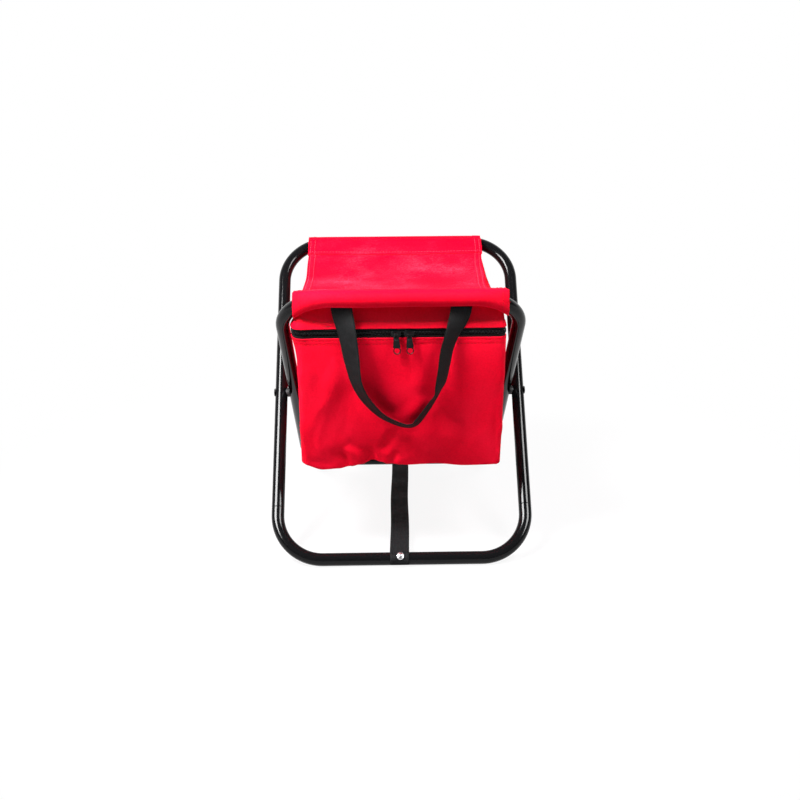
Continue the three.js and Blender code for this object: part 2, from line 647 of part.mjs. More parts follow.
// Zip slider: two plates, wide at the mouth, joined by a post between the chain halves, and a bail
function zipSlider(side) {
  const x = sliderX(side);
  const mouth = x - (side * SLIDER_LENGTH) / 2;
  const tail = x + (side * SLIDER_LENGTH) / 2;
  const waist = x + (side * SLIDER_LENGTH) / 6;
  const wide = SLIDER_MOUTH_HEIGHT / 2;
  const narrow = SLIDER_TAIL_HEIGHT / 2;
  const plate = new THREE.Shape();
  plate.moveTo(mouth, ZIP_Z - wide);
  plate.quadraticCurveTo(waist, ZIP_Z - wide, tail, ZIP_Z - narrow);
  plate.lineTo(tail, ZIP_Z + narrow);
  plate.quadraticCurveTo(waist, ZIP_Z + wide, mouth, ZIP_Z + wide);
  const back = CHAIN_FRONT + COIL_DEPTH + CLEARANCE + SLIDER_PLATE;
  const thickness = back - SLIDER_FACE;
  const post = box(
    SLIDER_POST_LENGTH, thickness, SLIDER_POST_HEIGHT,
    mouth + (side * SLIDER_POST_LENGTH) / 2, SLIDER_FACE + thickness / 2, ZIP_Z,
  );
  const bail = box(BAIL_WIDTH, BAIL_REACH + SLIDER_PLATE / 2, BAIL_BAR,
    x, SLIDER_FACE - BAIL_REACH / 2 + SLIDER_PLATE / 4, ZIP_Z);
  const window = box(BAIL_WIDTH - 2 * BAIL_BAR, BAIL_REACH - BAIL_BAR, 2 * BAIL_BAR,
    x, SLIDER_FACE - (BAIL_REACH - BAIL_BAR) / 2, ZIP_Z);
  const plates = [SLIDER_FACE + SLIDER_PLATE, back].map((from) => {
    return solid(facePrism(plate, SLIDER_PLATE, from));
  });
  const arch = solid(bail).subtract(solid(window));
  return geometryOf(plates[0].add(plates[1]).add(solid(post)).add(arch));
}

// Zip pull: a rolled eye round the bail bar, a tapered tab and a wire loop at its end
function zipPull(side) {
  const x = sliderX(side);
  const bore = BAIL_BAR * Math.SQRT1_2 + CLEARANCE;
  const eyeRadius = bore + PULL_EYE_WALL;
  const eyeShape = new THREE.Shape().absarc(BAIL_Y, ZIP_Z, eyeRadius, 0, 2 * Math.PI);
  eyeShape.holes.push(new THREE.Path().absarc(BAIL_Y, ZIP_Z, bore, 0, 2 * Math.PI));
  const eye = crossPrism(eyeShape, PULL_EYE_WIDTH, x);
  const top = ZIP_Z - bore - PULL_EYE_WALL / 2;
  const end = ZIP_Z - PULL_LENGTH;
  const tab = new THREE.Shape();
  tab.moveTo(x - PULL_EYE_WIDTH / 2, top);
  tab.quadraticCurveTo(x - PULL_TOP_WIDTH / 2, top, x - PULL_TOP_WIDTH / 2, top - PULL_TOP_WIDTH / 2);
  tab.lineTo(x - PULL_END_WIDTH / 2, end + PULL_END_WIDTH / 4);
  tab.quadraticCurveTo(x - PULL_END_WIDTH / 2, end, x - PULL_END_WIDTH / 4, end);
  tab.lineTo(x + PULL_END_WIDTH / 4, end);
  tab.quadraticCurveTo(x + PULL_END_WIDTH / 2, end, x + PULL_END_WIDTH / 2, end + PULL_END_WIDTH / 4);
  tab.lineTo(x + PULL_TOP_WIDTH / 2, top - PULL_TOP_WIDTH / 2);
  tab.quadraticCurveTo(x + PULL_TOP_WIDTH / 2, top, x + PULL_EYE_WIDTH / 2, top);
  const plate = facePrism(tab, PULL_THICKNESS, BAIL_Y + PULL_THICKNESS / 2);
  const halfLoop = (PULL_LOOP_WIDTH - PULL_WIRE) / 2;
  const straight = PULL_LOOP_LENGTH - PULL_WIRE / 2 - halfLoop;
  const bend = [1, 5 / 6, 2 / 3, 1 / 2, 1 / 3, 1 / 6, 0].map((share) => {
    const angle = -share * Math.PI;
    return at(x + halfLoop * Math.cos(angle), BAIL_Y, end - straight + halfLoop * Math.sin(angle));
  });
  const wire = new THREE.CatmullRomCurve3(
    [at(x - halfLoop, BAIL_Y, end + PULL_WIRE), ...bend, at(x + halfLoop, BAIL_Y, end + PULL_WIRE)],
    false,
    'centripetal',
  );
  const wireShape = new THREE.Shape().absarc(0, 0, PULL_WIRE / 2, 0, 2 * Math.PI);
  const loop = new THREE.ExtrudeGeometry(wireShape, {
    extrudePath: wire, steps: PULL_WIRE_STEPS, curveSegments: PULL_WIRE_CURVE,
  });
  return geometryOf(solid(eye).add(solid(plate)).add(solid(loop)));
}

// Carry handle: webbing sewn flat under the front sleeve, turned on edge at the bottom of its loop
function carryHandle() {
  const face = -BAG_HALF_DEPTH - CLEARANCE - WEBBING / 2;
  const top = LID_TOP - CLOTH;
  const half = HANDLE_SPAN / 2;
  const front = face - HANDLE_STAND_OFF;
  const onEdgeDepth = front + WEBBING_WIDTH / 2;
  const hang = (s, across, depth, down) => at(s * half * across, depth, top - HANDLE_DROP * down);
  const between = (share) => THREE.MathUtils.lerp(front, onEdgeDepth, share);
  const side = (s) => [
    hang(s, 1, face, 0),
    hang(s, HANDLE_FIRST_SPAN, face - HANDLE_STAND_OFF * HANDLE_FIRST_LEAVE, HANDLE_FIRST_DROP),
    ...HANDLE_COURSE.map(([across, down, share]) => hang(s, across, between(share), down)),
  ];
  const path = new THREE.CatmullRomCurve3(
    [...side(-1), hang(0, 0, onEdgeDepth, 1), ...side(1).reverse()], false, 'centripetal',
  );
  const rings = [];
  for (let step = 0; step <= HANDLE_STEPS; step++) {
    const t = step / HANDLE_STEPS;
    const place = path.getPointAt(t);
    const along = path.getTangentAt(t);
    const flat = along.clone().cross(Y).normalize();
    const onEdge = flat.clone().cross(along).normalize();
    const share = THREE.MathUtils.smoothstep(1 - Math.abs(2 * t - 1), HANDLE_TURN_FROM, HANDLE_TURN_TO);
    const turn = (Math.PI / 2) * share;
    const wide = flat.multiplyScalar(Math.cos(turn)).addScaledVector(onEdge, Math.sin(turn));
    const thick = wide.clone().cross(along).normalize();
    const corner = (a, b) => {
      const edge = place.clone().addScaledVector(wide, (a * WEBBING_WIDTH) / 2);
      return edge.addScaledVector(thick, (b * WEBBING) / 2);
    };
    rings.push([corner(-1, -1), corner(1, -1), corner(1, 1), corner(-1, 1)]);
  }
  return skin(rings, false);
}

// Floor strap: webbing over both foot rails, which stops the legs from spreading
function floorStrap() {
  const radius = TUBE_REACH + CLEARANCE;
  const lap = THREE.MathUtils.degToRad(STRAP_LAP);
  const edge = (r) => {
    const half = [];
    for (let step = STRAP_STEPS; step >= 0; step--) {
      const angle = (lap * step) / STRAP_STEPS;
      half.push([HALF_SPREAD + r * Math.sin(angle), FOOT_RAIL_HEIGHT + r * Math.cos(angle)]);
    }
    const hang = [];
    for (let step = 1; step < 2 * STRAP_STEPS; step++) {
      const t = step / (2 * STRAP_STEPS);
      const sag = 4 * STRAP_SAG * t * (1 - t);
      hang.push([THREE.MathUtils.lerp(-HALF_SPREAD, HALF_SPREAD, t), FOOT_RAIL_HEIGHT + r - sag]);
    }
    return [...half.map(([y, z]) => [-y, z]), ...hang, ...half.reverse()];
  };
  const outline = [...edge(radius), ...edge(radius + WEBBING).reverse()];
  const shape = new THREE.Shape(outline.map(([y, z]) => new THREE.Vector2(y, z)));
  const band = crossPrism(shape, WEBBING_WIDTH, 0);
  const places = band.getAttribute('position');
  for (let i = 0; i < places.count; i++) {
    const t = THREE.MathUtils.clamp(places.getY(i) / RAIL_SPREAD + 0.5, 0, 1);
    places.setX(i, places.getX(i) + THREE.MathUtils.lerp(STRAP_FRONT_X, STRAP_REAR_X, t));
  }
  const holes = [outerLoop, innerLoop].map((loop) => {
    const drill = STRAP_RIVET_DIAMETER / 2 + CLEARANCE;
    return solid(rod(drill, 0, TUBE_DIAMETER, strapRivetPlace(loop), strapRivetDirection(loop)));
  });
  return geometryOf(solid(band).subtract(holes[0]).subtract(holes[1]));
}

// Blind rivet through the strap into the foot rail, with the mandrel's hole in its domed head
function strapRivet(loop) {
  const seat = TUBE_REACH + WEBBING + 2 * CLEARANCE;
  const inside = TUBE_RADIUS - TUBE_WALL - STRAP_SHANK_END;
  const shank = STRAP_RIVET_DIAMETER / 2;
  const head = STRAP_HEAD_DIAMETER / 2;
  const mandrel = STRAP_MANDREL_DIAMETER / 2;
  const profile = [
    [0, inside],
    [shank, inside],
    [shank, seat],
    [head, seat],
    [head, seat + STRAP_HEAD_HEIGHT * DOME_RIM],
    [head * DOME_SHOULDER_RADIUS, seat + STRAP_HEAD_HEIGHT * DOME_SHOULDER_HEIGHT],
    [mandrel, seat + STRAP_HEAD_HEIGHT],
    [mandrel, seat + STRAP_HEAD_HEIGHT - STRAP_MANDREL_DEPTH],
    [0, seat + STRAP_HEAD_HEIGHT - STRAP_MANDREL_DEPTH],
  ];
  return turned(profile, strapRivetPlace(loop), strapRivetDirection(loop));
}

// Materials
const finish = (color, roughness, metalness) => {
  return new THREE.MeshStandardMaterial({ color, roughness, metalness });
};
const blackPaint = finish(0x0b0b0d, 0.18, 0.3);
const blackNylon = finish(0x151516, 0.5, 0);
const blackWebbing = finish(0x17181a, 0.85, 0);
const redCloth = finish(0xd6082a, 0.8, 0);
const whiteFoam = finish(0xe8e8e4, 0.9, 0);
const foil = finish(0xc9ccd0, 0.3, 0.8);
const silver = finish(0xd4d5d8, 0.25, 1);

const stool = new THREE.Group();
function add(name, geometry, material) {
  const mesh = new THREE.Mesh(geometry, material);
  mesh.name = name;
  stool.add(mesh);
}

add('rear_seat_tube', seatTube(outerLoop), blackPaint);
add('front_foot_tube', footTube(outerLoop), blackPaint);
add('front_seat_tube', seatTube(innerLoop), blackPaint);
add('rear_foot_tube', footTube(innerLoop), blackPaint);
for (const [word, side] of [['left', -1], ['right', 1]]) {
  add(`pivot_rivet_${word}`, pivotRivet(side), blackPaint);
  add(`outer_saddle_${word}`, pivotSaddle(outerLoop, side), blackNylon);
  add(`inner_saddle_${word}`, pivotSaddle(innerLoop, side), blackNylon);
  add(`zip_slider_${word}`, zipSlider(side), blackPaint);
  add(`zip_pull_${word}`, zipPull(side), blackNylon);
}
const sleeve = (loop, half) => pipe(loop, loop.seat, half, SLEEVE_OUTSIDE, SLEEVE_INSIDE);
add('rear_sleeve', sleeve(outerLoop, REAR_SLEEVE_HALF), redCloth);
add('front_sleeve', sleeve(innerLoop, FRONT_SLEEVE_HALF), redCloth);
add('seat_panel', seatPanel(), redCloth);
add('bag_lid', bagLid(), redCloth);
const lidFoamFrom = CLOTH + CLEARANCE;
const lidLiningFrom = lidFoamFrom + FOAM + CLEARANCE;
add('lid_foam', lidLayer(lidFoamFrom, lidFoamFrom + FOAM), whiteFoam);
add('lid_lining', lidLayer(lidLiningFrom, lidLiningFrom + LINING), foil);
add('bag_shell', bagShell(), redCloth);
add('bag_foam', tub(CLOTH + CLEARANCE, FOAM), whiteFoam);
add('bag_lining', tub(CLOTH + FOAM + 2 * CLEARANCE, LINING), foil);
for (const [word, level] of [['upper', 1], ['lower', -1]]) {
  add(`zip_tape_${word}`, zipTape(level), blackWebbing);
  add(`zip_coil_${word}`, zipCoil(level), blackNylon);
}
add('carry_handle', carryHandle(), blackWebbing);
add('floor_strap', floorStrap(), blackWebbing);
add('strap_rivet_front', strapRivet(outerLoop), silver);
add('strap_rivet_rear', strapRivet(innerLoop), silver);

export default stool;
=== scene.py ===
import math

import bmesh
import bpy
import numpy as np
from mathutils import Matrix, Vector


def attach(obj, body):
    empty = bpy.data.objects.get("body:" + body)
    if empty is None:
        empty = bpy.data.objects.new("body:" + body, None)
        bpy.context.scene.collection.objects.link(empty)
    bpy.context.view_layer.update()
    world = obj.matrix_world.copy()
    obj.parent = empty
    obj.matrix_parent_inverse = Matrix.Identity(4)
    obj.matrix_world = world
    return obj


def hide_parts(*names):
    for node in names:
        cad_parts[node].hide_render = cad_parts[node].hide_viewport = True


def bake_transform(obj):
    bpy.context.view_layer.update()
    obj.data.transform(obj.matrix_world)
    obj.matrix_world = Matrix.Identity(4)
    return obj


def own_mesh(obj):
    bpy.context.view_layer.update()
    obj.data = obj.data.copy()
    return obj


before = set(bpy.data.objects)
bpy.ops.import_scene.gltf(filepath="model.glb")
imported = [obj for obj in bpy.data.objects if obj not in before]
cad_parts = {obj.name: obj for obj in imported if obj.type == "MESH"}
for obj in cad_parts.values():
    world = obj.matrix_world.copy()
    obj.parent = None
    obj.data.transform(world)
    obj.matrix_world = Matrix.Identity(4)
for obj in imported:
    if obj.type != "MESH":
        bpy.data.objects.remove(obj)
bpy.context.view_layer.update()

MM = 0.001

# Sizes of the solids, in millimetres
TUBE_R = 8.4
OUTER_HALF = 163.0
INNER_HALF = 144.0
BEND_R = 60.0
RAIL_Y = 155.0
SEAT_Z = 356.0
FOOT_Z = 8.4
PIVOT_Z = 182.2
JOINT_RISE = 10.0
LEAN = math.atan2(2 * RAIL_Y, SEAT_Z - FOOT_Z)
LOOP_LENGTH = math.hypot(2 * RAIL_Y, SEAT_Z - FOOT_Z)
BEND_LENGTH = BEND_R * math.pi / 2
CLOTH = 1.2
SEAT_SAG = 34.0
SEAT_EDGE_LIFT = 4.0
ZIP_Z = 312.12
ZIP_HALF = 6.3
SHELL_TOP = ZIP_Z - ZIP_HALF
LID_BOTTOM = ZIP_Z + ZIP_HALF
BAG_BOTTOM = 128.12
BAG_HEIGHT = SHELL_TOP - BAG_BOTTOM
LID_TOP = 345.6
BAG_HX = 126.0
BAG_HY = 152.0
BAG_CORNER = 10.0
END_TAPER = 22.0
SIDE_TAPER = 0.4
ZIP_END_Y = 112.0
SLIDER_X = (-6.8, 9.2)
BAIL_Y = -157.15
WEB_W = 25.0
WEB_T = 1.6
STRAP_X = (-4.0, 2.4)
RIVET_X = (-3.0, 2.4)

rng = np.random.default_rng(7)


# Lines and rows of points

def unit(rows):
    """Rows scaled to a length of one."""
    return rows / np.maximum(np.linalg.norm(rows, axis=1, keepdims=True), 1e-9)


def running(points):
    """Distance along a line of points."""
    return np.concatenate([[0], np.cumsum(np.linalg.norm(np.diff(points, axis=0), axis=1))])


def at_marks(marks, dist, rows):
    """Rows of values read at distances along a line."""
    return np.stack([np.interp(marks, dist, rows[:, k]) for k in range(rows.shape[1])], axis=1)


def circle(sides):
    """Angles of a ring, as a column."""
    return np.linspace(0, 2 * math.pi, sides, endpoint=False)[:, None]


def step(value, middle, width):
    """Soft step from nought to one."""
    t = np.clip((value - middle) / width + 0.5, 0, 1)
    return t * t * (3 - 2 * t)


# Mesh building

def plain_mesh(name, verts, faces):
    mesh = bpy.data.meshes.new(name)
    mesh.from_pydata([tuple(v) for v in np.asarray(verts, float) * MM], [], faces)
    return mesh


def stand(name, data):
    """Object of the scene for a mesh, a camera or a lamp."""
    made = bpy.data.objects.new(name, data)
    bpy.context.scene.collection.objects.link(made)
    return made


def finish_mesh(name, verts, faces, uvs, material):
    """Mesh object from millimetre points, with a surface coordinate in metres for each face corner."""
    mesh = plain_mesh(name, verts, faces)
    layer = mesh.uv_layers.new(name="UVMap")
    layer.data.foreach_set("uv", np.array([c for face in uvs for c in face], np.float32).ravel())
    work = bmesh.new()
    work.from_mesh(mesh)
    bmesh.ops.remove_doubles(work, verts=work.verts, dist=1e-6)
    bmesh.ops.recalc_face_normals(work, faces=work.faces)
    work.to_mesh(mesh)
    work.free()
    mesh.polygons.foreach_set("use_smooth", [True] * len(mesh.polygons))
    mesh.materials.append(material)
    return stand(name, mesh)


def lengths(grid, axis):
    """Running length along one direction of a grid of points, averaged over the other, in metres."""
    steps = np.linalg.norm(np.diff(grid, axis=axis), axis=2).mean(axis=1 - axis)
    return np.concatenate([[0], np.cumsum(steps)]) * MM


def grid_faces(rows, cols, around, base, u, v, flip=False):
    faces = []
    uvs = []
    for r in range(rows - 1):
        for c in range(cols if around else cols - 1):
            d = (c + 1) % cols
            corner = [(r, c, c), (r, d, c + 1), (r + 1, d, c + 1), (r + 1, c, c)]
            if flip:
                corner.reverse()
            faces.append([base + i * cols + j for i, j, k in corner])
            uvs.append([(u[k], v[i]) for i, j, k in corner])
    return faces, uvs


def shell(name, outer, inner, material, around=False, capped=True):
    """Closed sheet between two grids of points. Around joins the last column to the first."""
    rows, cols = outer.shape[:2]
    closing = np.concatenate([outer, outer[:, :1]], axis=1) if around else outer
    u = lengths(closing, 1)
    v = lengths(outer, 0)
    side = rows * cols
    faces, uvs = grid_faces(rows, cols, around, 0, u, v)
    more, more_uvs = grid_faces(rows, cols, around, side, u, v, True)
    faces += more
    uvs += more_uvs
    edges = []
    for c in range(cols if around else cols - 1):
        d = (c + 1) % cols
        edges.append(((0, c, c), (0, d, c + 1)))
        if capped:
            edges.append(((rows - 1, d, c + 1), (rows - 1, c, c)))
    if not around:
        for r in range(rows - 1):
            edges.append(((r + 1, 0, 0), (r, 0, 0)))
            edges.append(((r, cols - 1, cols - 1), (r + 1, cols - 1, cols - 1)))
    for (r, c, k), (q, d, m) in edges:
        a = r * cols + c
        b = q * cols + d
        faces.append([b, a, a + side, b + side])
        uvs.append([(u[m], v[q]), (u[k], v[r]), (u[k] + CLOTH * MM, v[r]), (u[m] + CLOTH * MM, v[q])])
    verts = np.concatenate([outer.reshape(-1, 3), inner.reshape(-1, 3)])
    return finish_mesh(name, verts, faces, uvs, material)


def skin(name, rings, material, capped=True):
    """Closed skin over rings of equally many points."""
    grid = np.asarray(rings, float)
    rows, cols = grid.shape[:2]
    u = lengths(np.concatenate([grid, grid[:, :1]], axis=1), 1)
    v = lengths(grid, 0)
    faces, uvs = grid_faces(rows, cols, True, 0, u, v)
    verts = [grid.reshape(-1, 3)]
    if capped:
        for r, count in ((0, rows * cols), (rows - 1, rows * cols + 1)):
            verts.append(grid[r].mean(axis=0)[None])
            for c in range(cols):
                d = (c + 1) % cols
                pair = [r * cols + d, r * cols + c] if r == 0 else [r * cols + c, r * cols + d]
                faces.append([*pair, count])
                uvs.append([(u[c], v[r])] * 3)
    return finish_mesh(name, np.concatenate(verts), faces, uvs, material)


def lathe(name, profile, place, direction, material, sides=40):
    """Turned piece: [radius, height] points about a direction from a place."""
    turn = Vector(direction).normalized().to_track_quat("Z", "Y").to_matrix()
    rings = []
    for radius, height in profile:
        ring = []
        for i in range(sides):
            angle = 2 * math.pi * i / sides
            spot = turn @ Vector((radius * math.cos(angle), radius * math.sin(angle), height))
            ring.append(tuple(Vector(place) + spot))
        rings.append(ring)
    return skin(name, rings, material)


def join(name, pieces):
    """One object from several."""
    bpy.ops.object.select_all(action="DESELECT")
    for piece in pieces:
        piece.select_set(True)
    bpy.context.view_layer.objects.active = pieces[0]
    bpy.ops.object.join()
    pieces[0].name = name
    pieces[0].data.name = name
    return pieces[0]


def on_grid(grid, rows, cols):
    """Points of a grid at fractional rows and columns."""
    rows = np.clip(np.asarray(rows, float), 0, grid.shape[0] - 1.001)
    cols = np.clip(np.asarray(cols, float), 0, grid.shape[1] - 1.001)
    r = rows.astype(int)
    c = cols.astype(int)
    fr = (rows - r)[:, None]
    fc = (cols - c)[:, None]
    top = grid[r, c] * (1 - fc) + grid[r, c + 1] * fc
    low = grid[r + 1, c] * (1 - fc) + grid[r + 1, c + 1] * fc
    return top * (1 - fr) + low * fr


class Beads:
    """Many small closed pieces in one mesh, each a row of rings with flat ends."""

    def __init__(self):
        self.verts = []
        self.faces = []

    def add(self, rings):
        sides = len(rings[0])
        base = len(self.verts)
        last = base + (len(rings) - 1) * sides
        for ring in rings:
            self.verts += ring
        for a in range(base, last, sides):
            for j in range(sides):
                n = (j + 1) % sides
                self.faces.append([a + j, a + n, a + sides + n, a + sides + j])
        self.faces.append([base + j for j in range(sides)])
        self.faces.append([last + j for j in reversed(range(sides))])

    def piece(self, name, material):
        uvs = [[(0, 0)] * len(face) for face in self.faces]
        return finish_mesh(name, self.verts, self.faces, uvs, material)


class Stitching(Beads):
    """Rows of sewn stitches, each one a small swelling of thread that dips into the cloth at both ends."""

    PITCH = 4.2
    LENGTH = 3.2
    RADIUS = 0.42
    SIDES = 6
    STEPS = ((-0.5, -0.3, 0.4), (-0.32, 0.14, 0.9), (0.0, 0.26, 1.0), (0.32, 0.14, 0.9), (0.5, -0.3, 0.4))
    SHORTEST = 0.3
    UNEVEN = 0.25

    def run(self, points, normals, pitch=PITCH, length=LENGTH):
        dist = running(points)
        count = max(1, int(dist[-1] / pitch))
        for i in range(count):
            middle = dist[-1] * (i + 0.5) / count + self.UNEVEN * rng.uniform(-1, 1)
            spots = [np.clip(middle + length * s, 0, dist[-1]) for s, lift, r in self.STEPS]
            place = at_marks(spots, dist, points)
            up = unit(at_marks(spots, dist, normals))
            along = place[-1] - place[0]
            size = np.linalg.norm(along)
            if size < self.SHORTEST:
                continue
            along /= size
            rings = []
            for k, (s, lift, share) in enumerate(self.STEPS):
                side = np.cross(along, up[k])
                spokes = np.cos(circle(self.SIDES)) * side + np.sin(circle(self.SIDES)) * up[k]
                rings.append(list(place[k] + up[k] * lift + spokes * self.RADIUS * share))
            self.add(rings)

    def sew(self, outer, inner, rows, cols, count=400, **sizes):
        """Stitches on a sheet between two of its places, each given by rows and columns."""
        rows = np.linspace(*rows, count)
        cols = np.linspace(*cols, count)
        points = on_grid(outer, rows, cols)
        self.run(points, unit(points - on_grid(inner, rows, cols)), **sizes)


# Materials

class Graph:
    """Short calls for the nodes of one shader tree."""

    def __init__(self, tree):
        self.tree = tree

    def plug(self, value, socket):
        if isinstance(value, bpy.types.NodeSocket):
            self.tree.links.new(value, socket)
        else:
            socket.default_value = value

    def node(self, kind, *values, **named):
        """New node with values for its first inputs, and with settings and inputs by name."""
        made = self.tree.nodes.new(kind)
        for key, value in named.items():
            if key in made.inputs.keys():
                self.plug(value, made.inputs[key])
            else:
                setattr(made, key, value)
        for value, socket in zip(values, made.inputs):
            self.plug(value, socket)
        return made

    def math(self, operation, a, b=0.0):
        return self.node("ShaderNodeMath", a, b, operation=operation).outputs[0]

    def mul(self, a, b):
        return self.math("MULTIPLY", a, b)

    def add(self, a, b):
        return self.math("ADD", a, b)

    def span(self, value, low, high, to_low, to_high, **named):
        return self.node("ShaderNodeMapRange", value, low, high, to_low, to_high, **named).outputs[0]

    def place(self, kind="Object"):
        return self.node("ShaderNodeTexCoord").outputs[kind]

    def parts(self, vector):
        return self.node("ShaderNodeSeparateXYZ", vector).outputs

    def rays(self, *names):
        """One where a ray is any of the named kinds."""
        path = self.node("ShaderNodeLightPath").outputs
        total = path[names[0]]
        for word in names[1:]:
            total = self.math("MAXIMUM", total, path[word])
        return total


class Look(Graph):
    """A material with one shader for its whole surface."""

    def __init__(self, name, color, roughness, metallic=0.0, **sockets):
        self.material = bpy.data.materials.new(name)
        self.material.use_nodes = True
        super().__init__(self.material.node_tree)
        self.shader = self.tree.nodes["Principled BSDF"]
        sockets.update(Base_Color=(*color, 1.0), Roughness=roughness, Metallic=metallic)
        for key, value in sockets.items():
            self.shader.inputs[key.replace("_", " ")].default_value = value
        self.material.diffuse_color = (*color, 1.0)

    def uv(self):
        split = self.parts(self.node("ShaderNodeUVMap", uv_map="UVMap").outputs[0])
        return split[0], split[1]

    def noise(self, scale, detail=3.0, roughness=0.55):
        made = self.node("ShaderNodeTexNoise", self.place(), Scale=scale, Detail=detail, Roughness=roughness)
        return made.outputs["Fac"]

    def color(self, value, *stops):
        """Colours at stops of a value."""
        made = self.node("ShaderNodeValToRGB", value)
        bands = made.color_ramp.elements
        while len(bands) < len(stops):
            bands.new(0.5)
        for band, (spot, color) in zip(bands, stops):
            band.position = spot
            band.color = (*color, 1.0)
        self.plug(made.outputs[0], self.shader.inputs["Base Color"])

    def rough(self, *span):
        self.plug(self.span(*span), self.shader.inputs["Roughness"])

    def bump(self, height, strength, distance):
        made = self.node("ShaderNodeBump", Strength=strength, Distance=distance, Height=height)
        before = self.shader.inputs["Normal"]
        if before.is_linked:
            self.plug(before.links[0].from_socket, made.inputs["Normal"])
        self.plug(made.outputs[0], before)


WARP_THREADS = 1700.0
WEFT_THREADS = 1500.0
WEBBING_RIBS = 480.0
WEBBING_PICKS = 620.0


def times(share, color):
    return tuple(share * c for c in color)


def weave_height(look, threads_u, threads_v):
    """Height of a plain weave: two sets of round threads that pass over and under each other."""
    u, v = look.uv()
    across = look.mul(u, threads_u)
    along = look.mul(v, threads_v)
    warp = look.math("ABSOLUTE", look.math("SINE", look.mul(across, math.pi)))
    weft = look.math("ABSOLUTE", look.math("SINE", look.mul(along, math.pi)))
    cell = look.add(look.math("FLOOR", across), look.math("FLOOR", along))
    over = look.math("MODULO", look.math("ABSOLUTE", cell), 2.0)
    under = look.math("SUBTRACT", 1.0, over)
    return look.add(look.mul(warp, over), look.mul(weft, under))


def cloth_look(name, color, dark, light, spots=(0.32, 0.58, 0.86), painted_rear_shade=0.0):
    """Woven cloth in three tones, with painted shade between its threads, and the share by which its rear
    lap is painted darker as painted shade.
    """
    look = Look(name, color, 0.78, Sheen_Weight=0.02, Sheen_Roughness=0.5,
                Specular_IOR_Level=0.015, Sheen_Tint=(1.0, 0.2, 0.26, 1.0))
    height = weave_height(look, WARP_THREADS, WEFT_THREADS)
    patches = look.noise(14.0, 4.0)
    threads = look.noise(420.0, 2.0)
    tone = look.add(look.mul(patches, 0.6), look.mul(threads, 0.4))
    # The weave's height also goes into the colour, darker in the gaps between threads: painted shade.
    shade = look.add(tone, look.mul(height, 0.16))
    # Painted shade: the rear lap is darkened by a share that grows towards the rear rail.
    rear = look.span(look.parts(look.place())[1], 0.06, 0.115, 0.0, painted_rear_shade)
    look.color(look.math("SUBTRACT", shade, rear), *zip(spots, (dark, color, light)))
    look.rough(patches, 0.3, 0.7, 0.52, 0.66)
    look.bump(height, 0.35, 0.0003)
    look.bump(look.noise(95.0, 3.0), 0.12, 0.0012)
    return look.material


def webbing_look(name, color, light):
    look = Look(name, color, 0.66, Sheen_Weight=0.01, Sheen_Roughness=0.5, Specular_IOR_Level=0.06)
    u, v = look.uv()
    ribs = look.math("SINE", look.mul(u, 2 * math.pi * WEBBING_RIBS))
    slant = look.add(look.mul(v, WEBBING_PICKS), look.mul(ribs, 0.25))
    picks = look.math("SINE", look.mul(slant, 2 * math.pi))
    height = look.add(look.mul(ribs, 0.5), look.mul(picks, 0.5))
    fuzz = look.noise(160.0, 4.0)
    # The ribs' height also goes into the colour, darker in the grooves: painted shade.
    tone = look.add(look.mul(height, 0.14), fuzz)
    look.color(tone, (0.3, times(0.55, color)), (0.6, color), (0.85, light))
    look.rough(fuzz, 0.3, 0.7, 0.52, 0.74)
    look.bump(height, 0.5, 0.00035)
    return look.material


def paint_look(name, color):
    look = Look(name, color, 0.1, Specular_IOR_Level=0.17)
    peel = look.noise(230.0, 2.0)
    haze = look.noise(26.0, 5.0)
    scuffs = look.noise(900.0, 6.0, roughness=0.8)
    look.rough(look.add(haze, look.mul(scuffs, 0.5)), 0.5, 0.95, 0.10, 0.13)
    look.color(scuffs, (0.6, color), (0.85, times(2.0, color)))
    look.bump(peel, 0.002, 0.0003)
    return look.material


def plastic_look(name, color, roughness, gloss=0.45):
    look = Look(name, color, roughness, Specular_IOR_Level=gloss)
    grain = look.noise(1500.0, 2.0)
    patches = look.noise(120.0, 3.0)
    look.rough(patches, 0.3, 0.7, roughness - 0.08, roughness + 0.1)
    look.color(patches, (0.35, color), (0.75, times(1.5, color)))
    look.bump(grain, 0.15, 0.0001)
    return look.material


def metal_look(name, color, roughness):
    look = Look(name, color, roughness, 1.0)
    scratch = look.noise(700.0, 5.0, roughness=0.7)
    look.rough(scratch, 0.35, 0.7, roughness - 0.08, roughness + 0.16)
    look.color(scratch, (0.35, times(0.75, color)), (0.6, color))
    look.bump(scratch, 0.08, 0.0001)
    return look.material


def foil_look(name, color):
    look = Look(name, color, 0.32, 0.75)
    creases = look.node("ShaderNodeTexVoronoi", look.place(), Scale=70.0, feature="DISTANCE_TO_EDGE")
    edge = look.span(creases.outputs[0], 0.0, 0.12, 0.0, 1.0)
    crumple = look.noise(48.0, 4.0)
    look.color(crumple, (0.3, times(0.8, color)), (0.65, color))
    look.rough(crumple, 0.3, 0.7, 0.24, 0.42)
    look.bump(crumple, 0.5, 0.002)
    look.bump(edge, 0.12, 0.0006)
    return look.material


def thread_look(name, color):
    look = Look(name, color, 0.6, Specular_IOR_Level=0.06)
    ply = look.noise(1400.0, 3.0)
    look.color(ply, (0.35, times(0.7, color)), (0.65, color))
    look.bump(ply, 0.4, 0.0002)
    return look.material


